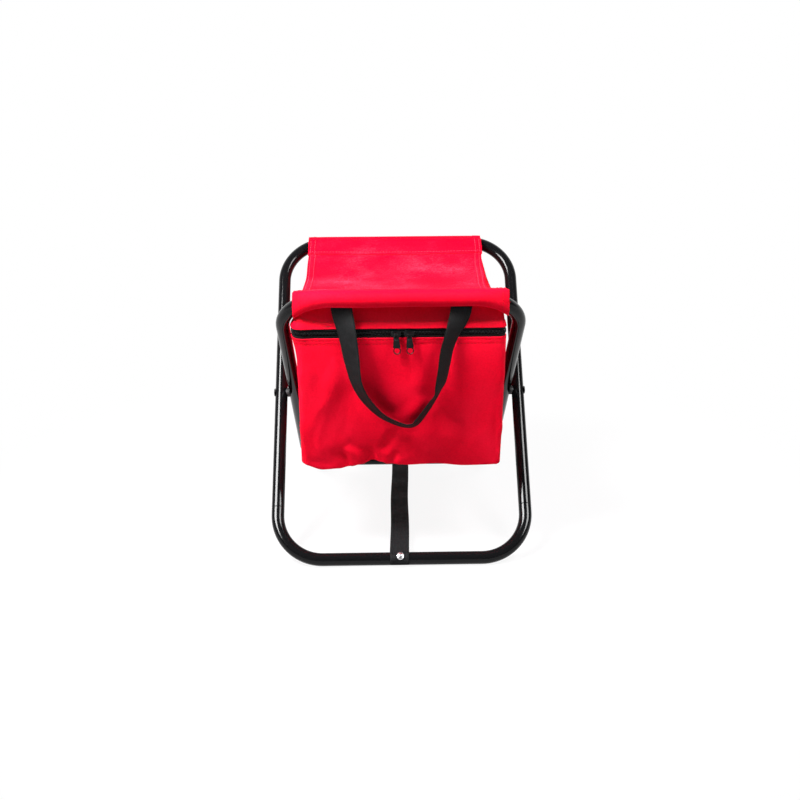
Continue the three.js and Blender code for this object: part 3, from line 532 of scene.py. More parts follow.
RED = (0.80, 0.0020, 0.020)
red_cloth = cloth_look("red_cloth", RED, (0.62, 0.0006, 0.014), (0.92, 0.006, 0.034))
# Seat copy of the red cloth: its pale tone, higher in green and blue, is painted sheen in random patches,
# and its rear lap is painted darker as painted shade.
seat_cloth = cloth_look("seat_cloth", RED, (0.62, 0.0002, 0.014), (0.94, 0.034, 0.074),
                        (0.47, 0.60, 0.78), 0.12)
red_thread = thread_look("red_thread", (0.68, 0.002, 0.016))
# Near-black red thread that draws a dark line along the seat's lap edge: a painted shadow of the lap's step.
lap_shadow_thread = thread_look("lap_shadow_thread", (0.30, 0.0008, 0.008))
# Lighter copy of the red thread for the seat's stitches: painted highlight for the seat's brighter light.
lit_seat_thread = thread_look("lit_seat_thread", (0.95, 0.040, 0.080))
black_webbing = webbing_look("black_webbing", (0.0062, 0.0064, 0.0070), (0.016, 0.0164, 0.018))
black_tape = webbing_look("black_tape", (0.004, 0.004, 0.0045), (0.010, 0.010, 0.011))
black_paint = paint_look("black_paint", (0.004, 0.004, 0.0045))
black_nylon = plastic_look("black_nylon", (0.012, 0.012, 0.013), 0.42)
black_coil = plastic_look("black_coil", (0.0015, 0.0015, 0.0018), 0.4, 0.06)
slider_paint = plastic_look("slider_paint", (0.003, 0.003, 0.0034), 0.18, 0.15)
silver = metal_look("silver", (0.80, 0.80, 0.82), 0.24)
dark_metal = metal_look("dark_metal", (0.10, 0.10, 0.11), 0.4)
foil = foil_look("foil", (0.74, 0.75, 0.77))


def rides(piece, body, node=None, folds=False):
    """Piece set on a body in place of a node or several, with a mesh of its own if it folds."""
    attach(piece, body)
    for one in [node] if isinstance(node, str) else node or []:
        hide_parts(one)
    if folds:
        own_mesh(piece)
    return piece


# Tube frame

X_AXIS = np.array([1.0, 0, 0])


def loop_of(half, side):
    up = np.array([0, side * math.sin(LEAN), math.cos(LEAN)])
    return {
        "half": half,
        "across": np.array([0, side * math.cos(LEAN), -math.sin(LEAN)]),
        "seat": (np.array([0, side * RAIL_Y, SEAT_Z]), up),
        "foot": (np.array([0, -side * RAIL_Y, FOOT_Z]), -up),
    }


OUTER = loop_of(OUTER_HALF, 1)
INNER = loop_of(INNER_HALF, -1)


def tube_ring(loop, rail, along, radius, sides=36):
    """Ring of a loop's tube, by distance along it from the middle of a rail."""
    axis, out = loop[rail]
    side = 1.0 if along >= 0 else -1.0
    straight = loop["half"] - BEND_R
    past = abs(along) - straight
    turn = min(max(past / BEND_R, 0), math.pi / 2)
    sideways = min(abs(along), straight) + BEND_R * math.sin(turn)
    inward = BEND_R * (1 - math.cos(turn)) + max(0, past - BEND_LENGTH)
    outward = out * math.cos(turn) + X_AXIS * side * math.sin(turn)
    centre = axis - out * inward + X_AXIS * side * sideways
    return centre + radius * (np.cos(circle(sides)) * outward + np.sin(circle(sides)) * loop["across"])


def tube_marks(loop, half):
    straight = loop["half"] - BEND_R
    marks = [*np.linspace(0, straight, 8), *(straight + np.linspace(0, BEND_LENGTH, 25)[1:])]
    marks += list(np.linspace(straight + BEND_LENGTH, half, 14)[1:])
    marks = [m for m in marks if m < half - 1e-6]
    return [-m for m in reversed(marks[1:])] + marks


TUBE_LIP = ((1.0, 0.0), (0.5, 0.0), (0.15, 0.05), (0.0, 0.2))
TUBE_WALL = 1.0
TUBE_MOUTH = 4.0
SPIGOT_STEP = 1.3
SPIGOT = 6.0
JOINT_GAP = 0.12


def bent_tube(name, loop, rail):
    """Tube of a rail, its bends and part of both legs. A foot's ends carry a spigot, a seat's are open."""
    half = loop["half"] - BEND_R + BEND_LENGTH
    if rail == "seat":
        half += LOOP_LENGTH - 2 * BEND_R - JOINT_RISE - JOINT_GAP
        mouth = [(half, TUBE_R - TUBE_WALL), (half - TUBE_MOUTH, TUBE_R - TUBE_WALL)]
    else:
        half += JOINT_RISE
        mouth = [(half, TUBE_R - SPIGOT_STEP), (half + SPIGOT, TUBE_R - SPIGOT_STEP)]
    end = [(half - back, TUBE_R - inset) for back, inset in TUBE_LIP] + mouth
    rings = [tube_ring(loop, rail, -m, r) for m, r in reversed(end)]
    rings += [tube_ring(loop, rail, m, TUBE_R) for m in tube_marks(loop, half - 1.0)]
    rings += [tube_ring(loop, rail, m, r) for m, r in end]
    return skin(name, rings, black_paint)


rides(bent_tube("rear_tube", OUTER, "seat"), "outer_frame", "rear_seat_tube")
rides(bent_tube("front_foot", OUTER, "foot"), "outer_frame", "front_foot_tube")
rides(bent_tube("front_tube", INNER, "seat"), "inner_frame", "front_seat_tube")
rides(bent_tube("rear_foot", INNER, "foot"), "inner_frame", "rear_foot_tube")

# Pivot rivets and saddle washers
PIVOT_DOME = ((5.5, 0.0), (5.5, 0.5), (5.1, 1.0), (4.1, 1.4), (2.6, 1.65), (1.0, 1.78), (0.05, 1.8))
PIVOT_SHANK = 3.0
PIVOT_OUT = OUTER_HALF + TUBE_R + 0.15
PIVOT_IN = INNER_HALF - TUBE_R - 0.3
for word, side in (("left", -1), ("right", 1)):
    profile = [(r, PIVOT_IN - h) for r, h in reversed(PIVOT_DOME)]
    profile += [(PIVOT_SHANK, PIVOT_IN), (PIVOT_SHANK, PIVOT_OUT)]
    profile += [(r, PIVOT_OUT + h) for r, h in PIVOT_DOME]
    rivet = lathe(f"pivot_{word}", profile, (0, 0, PIVOT_Z), (side, 0, 0), black_paint)
    rides(rivet, "outer_frame", f"pivot_rivet_{word}")
    for loop in ("outer", "inner"):
        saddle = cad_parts[f"{loop}_saddle_{word}"]
        saddle.data.materials.clear()
        saddle.data.materials.append(black_nylon)

# Strap rivets, as radii and heights above the webbing
RIVET_ANGLE = math.radians(42)
RIVET_SEAT = TUBE_R + 0.15 + WEB_T + 0.35
RIVET_FOOT = 4.6
RIVET_HEAD = ((2.4, 0.0), (4.9, 0.0), (5.0, 0.25), (4.9, 0.7), (4.4, 1.25), (3.5, 1.75), (2.4, 2.1),
              (1.6, 2.2), (1.35, 2.1), (1.3, 1.1), (0.05, 1.0))
MANDREL = ((0.05, 0.9), (1.2, 0.9), (1.2, 1.5), (0.9, 1.75), (0.05, 1.8))
STRAP_RIVETS = (("front", -1, "outer_frame", RIVET_X[0]), ("rear", 1, "inner_frame", RIVET_X[1]))
for word, side, body, x in STRAP_RIVETS:
    way = (0, side * math.sin(RIVET_ANGLE), math.cos(RIVET_ANGLE))
    foot = (x, side * RAIL_Y, FOOT_Z)
    profile = [(0.05, RIVET_FOOT), (2.4, RIVET_FOOT)] + [(r, RIVET_SEAT + h) for r, h in RIVET_HEAD]
    rivet = lathe(f"strap_rivet_{word}_head", profile, foot, way, silver)
    rides(rivet, body, f"strap_rivet_{word}")
    profile = [(r, RIVET_SEAT + h) for r, h in MANDREL]
    rides(lathe(f"strap_mandrel_{word}", profile, foot, way, dark_metal), body, None)


# Sling seat: teardrop sleeves round the seat rails and a hanging sheet between them

SLEEVE_R = TUBE_R + 0.45
SLEEVE_TIP = 20.0
TIP_SHARE = 0.16
SEAM_Y = 113.0
LAP_Y = 105.5
# The lap edge's dark line: a row of overlapping dark stitches, as a painted shadow.
LAP_SHADOW_Y = 105.6
LAP_SHADOW_DASHES = {"pitch": 3.4, "length": 3.6}
SEAT_FRONT_Y = 151
SEAT_END_Y = RAIL_Y - 4.2
SEAT_END_Z = SEAT_Z + 9.5
HEM_WIDTH = 10.6
HEM_SEAMS = (3.0, 9.0)
SLEEVE_HEM = 8
REAR_SLEEVE = (-128.8, 121.0)
FRONT_SLEEVE = (-128.0, 127.0)
SEAT_HALF = 122


def rail_drop(loop, x):
    """How far a seat rail has bent away from its straight line at a place across the stool."""
    past = np.maximum(0, np.abs(x) - (loop["half"] - BEND_R))
    return BEND_R - np.sqrt(np.maximum(0, BEND_R ** 2 - past ** 2))


def front_follow(x):
    """Share of the front rail's bend that the tight cloth follows along its top."""
    return np.where(np.asarray(x) < 0, 0.42, 0.32)


def seat_under(x, y):
    """Height of the underside of the hanging seat."""
    drop_f = rail_drop(INNER, x)
    rear_y = SEAT_END_Y - rail_drop(OUTER, x) * math.sin(LEAN)
    front_y = -SEAT_END_Y + drop_f * math.sin(LEAN)
    front_z = SEAT_END_Z - front_follow(x) * drop_f * math.cos(LEAN)
    t = (rear_y - y) / (rear_y - front_y)
    sag = SEAT_SAG - SEAT_EDGE_LIFT * (x / SEAT_HALF) ** 2
    return SEAT_END_Z + (front_z - SEAT_END_Z) * t - 4 * sag * t * (1 - t)


# Slanting ridges of the seat: place, slant, height, half width, middle and reach from front to rear
SEAT_RIDGES = ((40, 62, 1.5, 2.6, 20, 66, 34), (-66, 62, -0.6, 2.0, 15, 64, 36),
               (2, 60, 0.3, 1.5, 13, 64, 34))


def seat_folds(x, y):
    """Soft folds of the seat: ripples below each seam, slanting ridges and a hollow."""
    rear = np.exp(-((y - 88) / 26) ** 2)
    front = np.exp(-((y + 92) / 30) ** 2)
    folds = 1.1 * rear * np.sin(x / 10.5 + 0.8 * np.sin(x / 31.0)) * np.cos(x / 47.0 + 0.4)
    folds += 0.9 * front * np.sin(x / 11.0 + 1.3) * np.cos(x / 39.0)
    for ridge_x, ridge_y, slant, height, wide, middle, reach in SEAT_RIDGES:
        lean = (x - ridge_x) - slant * (y - ridge_y)
        folds += height * np.exp(-(lean / wide) ** 2) * np.exp(-((y - middle) / reach) ** 2)
    folds -= 1.6 * np.exp(-((x - 20) / 34) ** 2) * np.exp(-((y - 20) / 40) ** 2)
    return folds * step(LAP_Y - np.abs(y), 4.0, 12.0)


def teardrop(loop, rail_side, x, thickness, loose_top, loose_low, count=44):
    """Section of a sleeve at a place across the stool, from its tip over the rail and back under."""
    drop = float(rail_drop(loop, np.array(x)))
    follow = 0.0 if rail_side > 0 else float(front_follow(x))
    centre_y = rail_side * (RAIL_Y - drop * math.sin(LEAN))
    centre_z = SEAT_Z - drop * math.cos(LEAN)
    tip_y = centre_y - rail_side * SLEEVE_TIP
    radius = SLEEVE_R + thickness
    up = radius + loose_top + (1 - follow) * drop * math.cos(LEAN)
    low = radius + loose_low + 0.1 * drop
    tip_z = float(seat_under(np.array(x), np.array(tip_y))) - 1.0 - centre_z
    tip_z /= up / radius
    psi = math.atan2(tip_z, -SLEEVE_TIP)
    open_angle = math.acos(min(0.999, radius / math.hypot(SLEEVE_TIP, tip_z)))
    share = np.arange(count) / (count - 1)
    swept = np.clip((share - TIP_SHARE) / (1 - 2 * TIP_SHARE), 0, 1)
    angle = psi - open_angle - swept * (2 * math.pi - 2 * open_angle)
    q = np.clip(np.minimum(share, 1 - share) / TIP_SHARE, 0, 1)
    tips = tip_z + np.where(share < 0.5, 0.5, -0.5) * thickness
    out = -SLEEVE_TIP * (1 - q) + np.cos(angle) * radius * q
    lift = tips * (1 - q) + np.sin(angle) * radius * q
    lift = lift * np.where(lift > 0, up, low) / radius
    return np.column_stack([np.full(count, x), centre_y + rail_side * out, centre_z + lift])


SLEEVE_STOPS = (0, 0.8, 2, 4, 6, 7.2, SLEEVE_HEM, 8.8, 10, 12, 15, 19)


def sleeve(name, loop, rail_side, left, right, wave):
    rows = []
    inner = []
    xs = [left + d for d in SLEEVE_STOPS] + list(np.linspace(left + 24, right - 24, 48))
    xs += [right - d for d in reversed(SLEEVE_STOPS)]
    for x in xs:
        edge = min(x - left, right - x)
        hem = 0.5 * (1 - float(step(edge, 10.5, 1.2))) - 0.3 * math.exp(-((edge - SLEEVE_HEM) / 0.9) ** 2)
        soft = math.sin(x / wave) + 0.7 * math.sin(x / (0.37 * wave) + 1.0)
        rows.append(teardrop(loop, rail_side, x, CLOTH + hem, 0.05 + 0.03 * soft, 0.5 - 0.35 * soft))
        inner.append(teardrop(loop, rail_side, x, 0.0, 0.03 + 0.03 * soft, 0.2 - 0.35 * soft))
    rows = np.array(rows)
    inner = np.array(inner)
    return shell(name, rows, inner, red_cloth, around=True), rows, inner


rear_sleeve, rear_out, rear_in = sleeve("rear_sleeve_cloth", OUTER, 1, *REAR_SLEEVE, 33.0)
front_sleeve, front_out, front_in = sleeve("front_sleeve_cloth", INNER, -1, *FRONT_SLEEVE, 41.0)
rides(rear_sleeve, "outer_frame", "rear_sleeve")
rides(front_sleeve, "inner_frame", "front_sleeve")

# Edges of the seat cloth at places from the front to the rear
EDGE_Y = (-151, -106.5, -105, 0, 105, 106.5, 151)
EDGE_LEFT = (-127.6, -124.0, -123.2, -125.2, -126.2, -127.6, -128.4)
EDGE_RIGHT = (126.4, 117.0, 113.2, 114.0, 118.6, 120.0, 120.6)
SEAT_STOPS = (0, 0.5, 1.4, 2.4, 3.0, 3.6, 4.6, 6.4, 8.2, 9.0, 9.8, 10.3, 10.7, 11.3, 12.6, 15.0)
LAP_ROWS = (151, 149, 147, 145, 142, 138, 134, 130, 126, 122, 118, 116, 114.6, 113.7, SEAM_Y, 112.3,
            111.4, 110, 108, 106.6, 106.0, LAP_SHADOW_Y, 105.2, 104.6, 103.6, 102, 99, 95)
SEAT_HALF_ROWS = [*LAP_ROWS, *range(91, 0, -5)]
SEAT_ROWS = [*SEAT_HALF_ROWS, *[-y for y in reversed(SEAT_HALF_ROWS)]]


def seat_grids():
    top = []
    low = []
    for y in SEAT_ROWS:
        left = np.interp(y, EDGE_Y, EDGE_LEFT)
        right = np.interp(y, EDGE_Y, EDGE_RIGHT)
        wave = 0.5 * math.sin(y / 17.0)
        x = np.array([left + wave + d for d in SEAT_STOPS] + list(np.linspace(left + 18, right - 18, 45))
                     + [right + wave - d for d in reversed(SEAT_STOPS)])
        edge = np.minimum(x - left, right - x)
        drop_r = rail_drop(OUTER, x) * math.sin(LEAN) * step(y, 110, 80)
        drop_f = rail_drop(INNER, x) * math.sin(LEAN) * step(-y, 110, 80)
        yy = y - drop_r + drop_f
        base = seat_under(x, yy) + seat_folds(x, yy)
        hem = 0.9 * (1 - step(edge, HEM_WIDTH, 0.9)) + 0.12 * np.sin(y / 3.1) * (edge < HEM_WIDTH)
        lap = 0.9 * step(abs(y), LAP_Y, 0.9)
        groove = sum(0.8 * np.exp(-((edge - d) / 0.9) ** 2) for d in HEM_SEAMS)
        groove = groove + 0.9 * math.exp(-((abs(y) - SEAM_Y) / 1.1) ** 2)
        feather = step(SEAT_FRONT_Y - abs(y), 5.0, 10.0)
        thick = 0.12 + (CLOTH + hem + lap - groove) * feather
        top.append(np.stack([x, yy, base + thick], axis=1))
        low.append(np.stack([x, yy, base - 0.1 * (1 - feather)], axis=1))
    return np.array(top), np.array(low)


seat_out, seat_in = seat_grids()
seat = shell("seat_cloth_panel", seat_out, seat_in, seat_cloth)

seat_sewing = Stitching()
lap_shadow_sewing = Stitching()
last_row, last_col = np.array(seat_out.shape[:2]) - 1
for distance in HEM_SEAMS:
    stop = SEAT_STOPS.index(distance)
    for col in (stop, last_col - stop):
        seat_sewing.sew(seat_out, seat_in, (4, last_row - 4), (col, col))
# Stitch rows at the seam, and along the lap edge a painted shadow line of overlapping dark stitches.
for sewing, seam, sizes in ((seat_sewing, SEAM_Y, {}), (lap_shadow_sewing, LAP_SHADOW_Y, LAP_SHADOW_DASHES)):
    seam_row = SEAT_ROWS.index(seam)
    for row in (seam_row, last_row - seam_row):
        sewing.sew(seat_out, seat_in, (row, row), (1, last_col - 1), **sizes)
seat_stitches = seat_sewing.piece("seat_stitches", lit_seat_thread)
lap_shadow_line = lap_shadow_sewing.piece("lap_shadow_line", lap_shadow_thread)


def sleeve_stitches(name, out, inn):
    """Stitches along both hems of a sleeve and below its rail."""
    sewing = Stitching()
    last = out.shape[0] - 1
    end_row = SLEEVE_STOPS.index(SLEEVE_HEM)
    for row in (end_row, last - end_row):
        sewing.sew(out, inn, (row, row), (9.0, 38.0))
    sewing.sew(out, inn, (0.7, last - 0.7), (41.6, 41.6))
    return sewing.piece(name, red_thread)


rear_stitches = sleeve_stitches("rear_sleeve_stitches", rear_out, rear_in)
front_stitches = sleeve_stitches("front_sleeve_stitches", front_out, front_in)
rides(rear_stitches, "outer_frame", None)
rides(front_stitches, "inner_frame", None)
rides(seat, "seat_cloth", "seat_panel", True)
rides(seat_stitches, "seat_cloth", None, True)
rides(lap_shadow_line, "seat_cloth", None, True)


# Bag outline in plan, as columns from the middle of the rear round by the left, the front and the right

SIDE_COLS = 72
FACE_COLS = 88
CORNER_COLS = 8
BASE_CORNER = 5.0
EDGE_R = 3.2
COLS = 2 * FACE_COLS + 2 * SIDE_COLS + 4 * CORNER_COLS
COLUMN = np.arange(COLS)
LEFT_START = FACE_COLS // 2 + CORNER_COLS
FRONT_START = LEFT_START + SIDE_COLS + CORNER_COLS
RIGHT_START = FRONT_START + FACE_COLS + CORNER_COLS


def plan(hx, hy, radius):
    """Points round a rounded rectangle, and the outward direction at each."""
    points = []
    out = []

    def straight(a, b, way, count):
        for i in range(count):
            points.append(np.array(a) + (np.array(b) - np.array(a)) * i / count)
            out.append(way)

    def corner(cx, cy, start):
        for i in range(CORNER_COLS):
            angle = start + (math.pi / 2) * i / CORNER_COLS
            way = (math.cos(angle), math.sin(angle))
            points.append(np.array([cx + radius * way[0], cy + radius * way[1]]))
            out.append(way)

    ix = hx - radius
    iy = hy - radius
    straight((0, hy), (-ix, hy), (0, 1), FACE_COLS // 2)
    corner(-ix, iy, math.pi / 2)
    straight((-hx, iy), (-hx, -iy), (-1, 0), SIDE_COLS)
    corner(-ix, -iy, math.pi)
    straight((-ix, -hy), (ix, -hy), (0, -1), FACE_COLS)
    corner(ix, -iy, 1.5 * math.pi)
    straight((hx, -iy), (hx, iy), (1, 0), SIDE_COLS)
    corner(ix, iy, 0)
    straight((ix, hy), (0, hy), (0, 1), FACE_COLS // 2)
    return np.array(points), np.array(out)


BASE_PLAN, BASE_OUT = plan(BAG_HX, BAG_HY, BAG_CORNER)


def hump(points, x, y, wide, deep):
    """Soft rise round a place in plan."""
    return np.exp(-((points[:, 0] - x) / wide) ** 2 - ((points[:, 1] - y) / deep) ** 2)


def zip_bulge(cols):
    """The mouth's own soft line: out behind the left front corner, in at the right, waved in front."""
    x, y = BASE_PLAN[cols].T
    left = hump(BASE_PLAN[cols], -BAG_HX, -128, 14, 24)
    right = hump(BASE_PLAN[cols], BAG_HX, -146, 13, 34)
    wave = 0.3 * np.sin(x / 17.0) * (y < -140)
    return 7.4 * left - 0.4 * right + wave


def swell(x, z, cx, cz, wx, wz, height, slant=0.0):
    """Soft oval swelling on a wall, its long way leaned by a slant."""
    a = (x - cx) - slant * (z - cz)
    return height * np.exp(-(a / wx) ** 2 - ((z - cz) / wz) ** 2)


def fold(x, z, course, left, right, height):
    """Fold along a course of points, with its own softness to the left and right of the way it runs."""
    best = np.full_like(x, 1e9)
    signed = np.zeros_like(x)
    fade = np.zeros_like(x)
    spots = np.array(course, float)
    span = len(spots) - 1
    for i in range(span):
        a = spots[i]
        d = spots[i + 1] - a
        t = np.clip(((x - a[0]) * d[0] + (z - a[1]) * d[1]) / (d @ d), 0, 1)
        px = x - (a[0] + t * d[0])
        pz = z - (a[1] + t * d[1])
        dist = np.hypot(px, pz)
        near = dist < best
        best = np.where(near, dist, best)
        signed = np.where(near, np.sign(d[0] * pz - d[1] * px) * dist, signed)
        fade = np.where(near, np.sin(math.pi * np.clip((i + t) / span, 0.0, 1.0)) ** 0.6, fade)
    width = np.where(signed > 0, left, right)
    return height * fade * np.exp(-(best / width) ** 2)


# Folds of each wall: softness left and right of the course's way, height, and the course in [along, up]
FRONT_FOLDS = (
    (9.0, 22.0, 2.6, (-62, 277), (-84, 246), (-104, 207), (-112, 176), (-106, 141)),
    (14.0, 10.0, -1.0, (-52, 263), (-70, 228), (-88, 193), (-92, 164)),
    (4.0, 6.0, -1.4, (-96, 215), (-105, 192), (-111, 172), (-108, 150)),
    (9.0, 12.0, 1.6, (-120, 300), (-112, 263), (-118, 217)),
    (8.0, 10.0, 0.9, (-114, 152), (-98, 160), (-74, 166)),
    (4.0, 8.0, -3.4, (-84, 158), (-72, 146), (-66, 126)),
    (7.0, 7.0, 2.7, (-70, 160), (-58, 148), (-48, 127)),
    (5.0, 6.0, -2.8, (-44, 154), (-38, 143), (-34, 123)),
    (12.0, 5.0, -3.6, (-8, 190), (-14, 174), (-22, 159), (-24, 146)),
    (3.0, 4.0, -2.4, (-4, 152), (-10, 141), (-13, 125)),
    (12.0, 12.0, -3.2, (-58, 252), (-38, 224), (-18, 207), (-8, 187)),
    (10.0, 12.0, 2.6, (-4, 193), (14, 209), (30, 228)),
    (14.0, 12.0, -3.0, (48, 211), (60, 189), (74, 180)),
    (12.0, 9.0, 2.0, (64, 193), (46, 168), (34, 137)),
    (12.0, 10.0, 1.6, (96, 181), (84, 160), (76, 133)),
    (2.4, 3.4, -1.6, (119, 238), (117, 199), (119, 154), (118, 125)),
    (14.0, 14.0, 1.6, (24, 298), (28, 269), (20, 238)),
)
FRONT_SWELLS = ((10, 236, 30, 34, 2.2), (-96, 269, 30, 34, 1.8, 0.3),
                (88, 263, 30, 44, 1.8), (8, 154, 46, 20, 2.0))
SIDE_FOLDS = (
    (12.0, 20.0, 3.0, (-124, 292), (-100, 234), (-76, 154)),
    (18.0, 12.0, 3.0, (70, 296), (88, 238), (92, 164)),
    (10.0, 14.0, 2.4, (-20, 213), (-6, 172), (0, 133)),
    (6.0, 8.0, -2.4, (-60, 174), (-48, 150), (-44, 129)),
    (8.0, 7.0, 2.6, (40, 183), (48, 154), (58, 129)),
)
SIDE_SWELLS = ((0, 248, 70, 40, 2.0),)
BACK_FOLDS = (
    (12.0, 18.0, 3.0, (84, 287), (98, 228), (108, 154)),
    (7.0, 10.0, 2.8, (-30, 193), (-12, 162), (0, 131)),
    (14.0, 10.0, 2.4, (-96, 242), (-84, 193), (-90, 145)),
    (5.0, 8.0, -2.4, (44, 174), (36, 150), (38, 129)),
)
BACK_SWELLS = ((-30, 238, 50, 40, 1.6),)
FRONT_STRENGTH = 1.35
SIDE_HALF = 150

# Line of the bag's lower front edge: places across and heights
HEM_X = (-140, -128, -101, -80, -64, -53, -37, -26, -18, 8, 41, 81, 126, 140)
HEM_Z = (4.6, 4.6, -4.2, -3.0, -0.2, 3.0, 8.4, 6.0, 3.0, 1.4, 3.0, -0.4, 0.4, 0.4)


def soft_interp(x, spots, values):
    """Values at spots joined by soft curves."""
    spots = np.array(spots, float)
    values = np.array(values, float)
    i = np.clip(np.searchsorted(spots, x) - 1, 0, len(spots) - 2)
    t = np.clip((x - spots[i]) / (spots[i + 1] - spots[i]), 0, 1)
    return values[i] + (values[i + 1] - values[i]) * t * t * (3 - 2 * t)


def relief(x, z, folds, swells):
    total = sum(fold(x, z, course, left, right, height) for left, right, height, *course in folds)
    return total + sum(swell(x, z, *values) for values in swells)


def wall_relief(s, z, lean):
    """How far the walls stand out from the plain form at one height."""
    front = (COLUMN >= FRONT_START - 4) & (COLUMN <= FRONT_START + FACE_COLS + 4)
    left = (COLUMN >= LEFT_START - 4) & (COLUMN < FRONT_START - 4)
    right = (COLUMN > FRONT_START + FACE_COLS + 4) & (COLUMN <= RIGHT_START + SIDE_COLS + 4)
    belly = math.sin(math.pi * min(1.0, max(0.0, lean))) ** 0.8
    face_ends = np.clip((BAG_HX + 3 - np.abs(s)) / 9, 0, 1)
    side_ends = np.clip((SIDE_HALF - np.abs(s)) / 20, 0, 1)
    side_belly = 2.0 * belly * (1 - (s / SIDE_HALF) ** 2)
    face = FRONT_STRENGTH * relief(s, z, FRONT_FOLDS, FRONT_SWELLS) - 1.4 * belly * (1 - (s / BAG_HX) ** 2)
    left_side = relief(s, z, SIDE_FOLDS, SIDE_SWELLS) + side_belly
    right_side = relief(-s, z, SIDE_FOLDS, SIDE_SWELLS) + side_belly
    back = relief(s, z, BACK_FOLDS, BACK_SWELLS) + 0.6 * belly
    sides = np.where(left, left_side, right_side) * side_ends
    total = np.where(left | right, sides, np.where(front, face, back) * face_ends)
    return total * np.clip((SHELL_TOP - z) / 18, 0, 1)


BAG_SEAMS = (2.3, 7.4)
BAG_STOPS = (-0.6, 0.0, 0.7, 1.2, 1.8, 2.3, 2.8, 3.4, 4.6, 6.0, 6.8, 7.4, 8.0, 8.8, 10.4, 12.6, 15)
WALL_END = BAG_BOTTOM + EDGE_R + 1
BAG_LEVELS = [SHELL_TOP - d for d in BAG_STOPS] + list(np.linspace(SHELL_TOP - 18, WALL_END, 58))
PLAIN_LEVELS = list(np.linspace(SHELL_TOP, WALL_END, 30))
FLOOR_HALF_X = 44
FLOOR_RINGS = np.linspace(0, 1, 15)[1:]


def bag_grid(inset, soft=1.0, levels=BAG_LEVELS):
    """Points of the bag from its mouth down the walls and in to the middle of its floor."""
    rows = [(z0, 0.0) for z0 in levels]
    for turn in np.linspace(0, math.pi / 2, 6)[1:]:
        rows.append((BAG_BOTTOM + EDGE_R * (1 - math.sin(turn)), EDGE_R * (1 - math.cos(turn))))
    grid = []
    for z0, tuck in rows:
        depth = SHELL_TOP - z0
        lean = depth / BAG_HEIGHT
        down = min(1.0, max(0.0, lean))
        radius = BAG_CORNER + (BASE_CORNER - BAG_CORNER) * down ** 0.7
        points, out = plan(BAG_HX - SIDE_TAPER * lean - inset, BAG_HY - END_TAPER * lean - inset,
                           max(2.5, radius - inset))
        s = np.where(np.abs(out[:, 1]) > np.abs(out[:, 0]), points[:, 0], points[:, 1])
        z = np.full(COLS, float(z0))
        groove = sum(0.35 * math.exp(-((depth - d) / 0.7) ** 2) for d in BAG_SEAMS) if inset == 0 else 0
        mouth_line = zip_bulge(COLUMN) * np.clip(1 - depth / 34, 0, 1) ** 1.5
        low_left = 1.9 * max(0, lean) ** 2 * hump(points, -BAG_HX, -128, 12, 30)
        edge = np.abs(out[:, 0] * out[:, 1]) * 2
        edge_wave = 0.9 * math.sin(z0 / 13.0) + 0.6 * math.sin(z0 / 5.7 + 1)
        push = soft * wall_relief(s, z, lean) + mouth_line + low_left - tuck
        ripple = soft * edge * edge_wave * min(1, max(0, lean) * 4)
        push = push - groove * (points[:, 1] < ZIP_END_Y) + ripple
        xy = points + out * push[:, None]
        front_share = np.clip((40 - xy[:, 1]) / 120, 0, 1)
        rise = soft_interp(xy[:, 0], HEM_X, HEM_Z) * front_share * np.clip((lean - 0.6) / 0.4, 0, 1) ** 1.5
        z = z + rise + inset * np.clip((lean - 0.9) / 0.1, 0, 1)
        grid.append(np.column_stack([xy, z]))
    edge = grid[-1]
    middle = np.column_stack([np.clip(edge[:, 0], -FLOOR_HALF_X, FLOOR_HALF_X), np.zeros(COLS),
                              np.full(COLS, BAG_BOTTOM + 1 + inset)])
    for q in FLOOR_RINGS:
        ring = edge * (1 - q) + middle * q
        ring[:, 2] += 1.5 * soft * math.sin(math.pi * q) * np.sin(edge[:, 0] / 26.0) * (1 - q)
        grid.append(ring)
    return np.array(grid)


WALL_ROWS = len(BAG_LEVELS)
SLACK = 0.03
SLACK_REACH = 4.5
SLACK_MOMENTS = 25
SLACK_WEIGHT = 0.4
CORNER_HOLD = 0.8
HELD_DEPTH = 11
CLOTH_SETTINGS = {
    "quality": 6, "mass": 0.2, "tension_stiffness": 15, "compression_stiffness": 15, "shear_stiffness": 5,
    "bending_stiffness": 0.6, "shrink_min": 0.0, "shrink_max": -SLACK, "vertex_group_shrink": "loose",
    "vertex_group_mass": "pins",
}


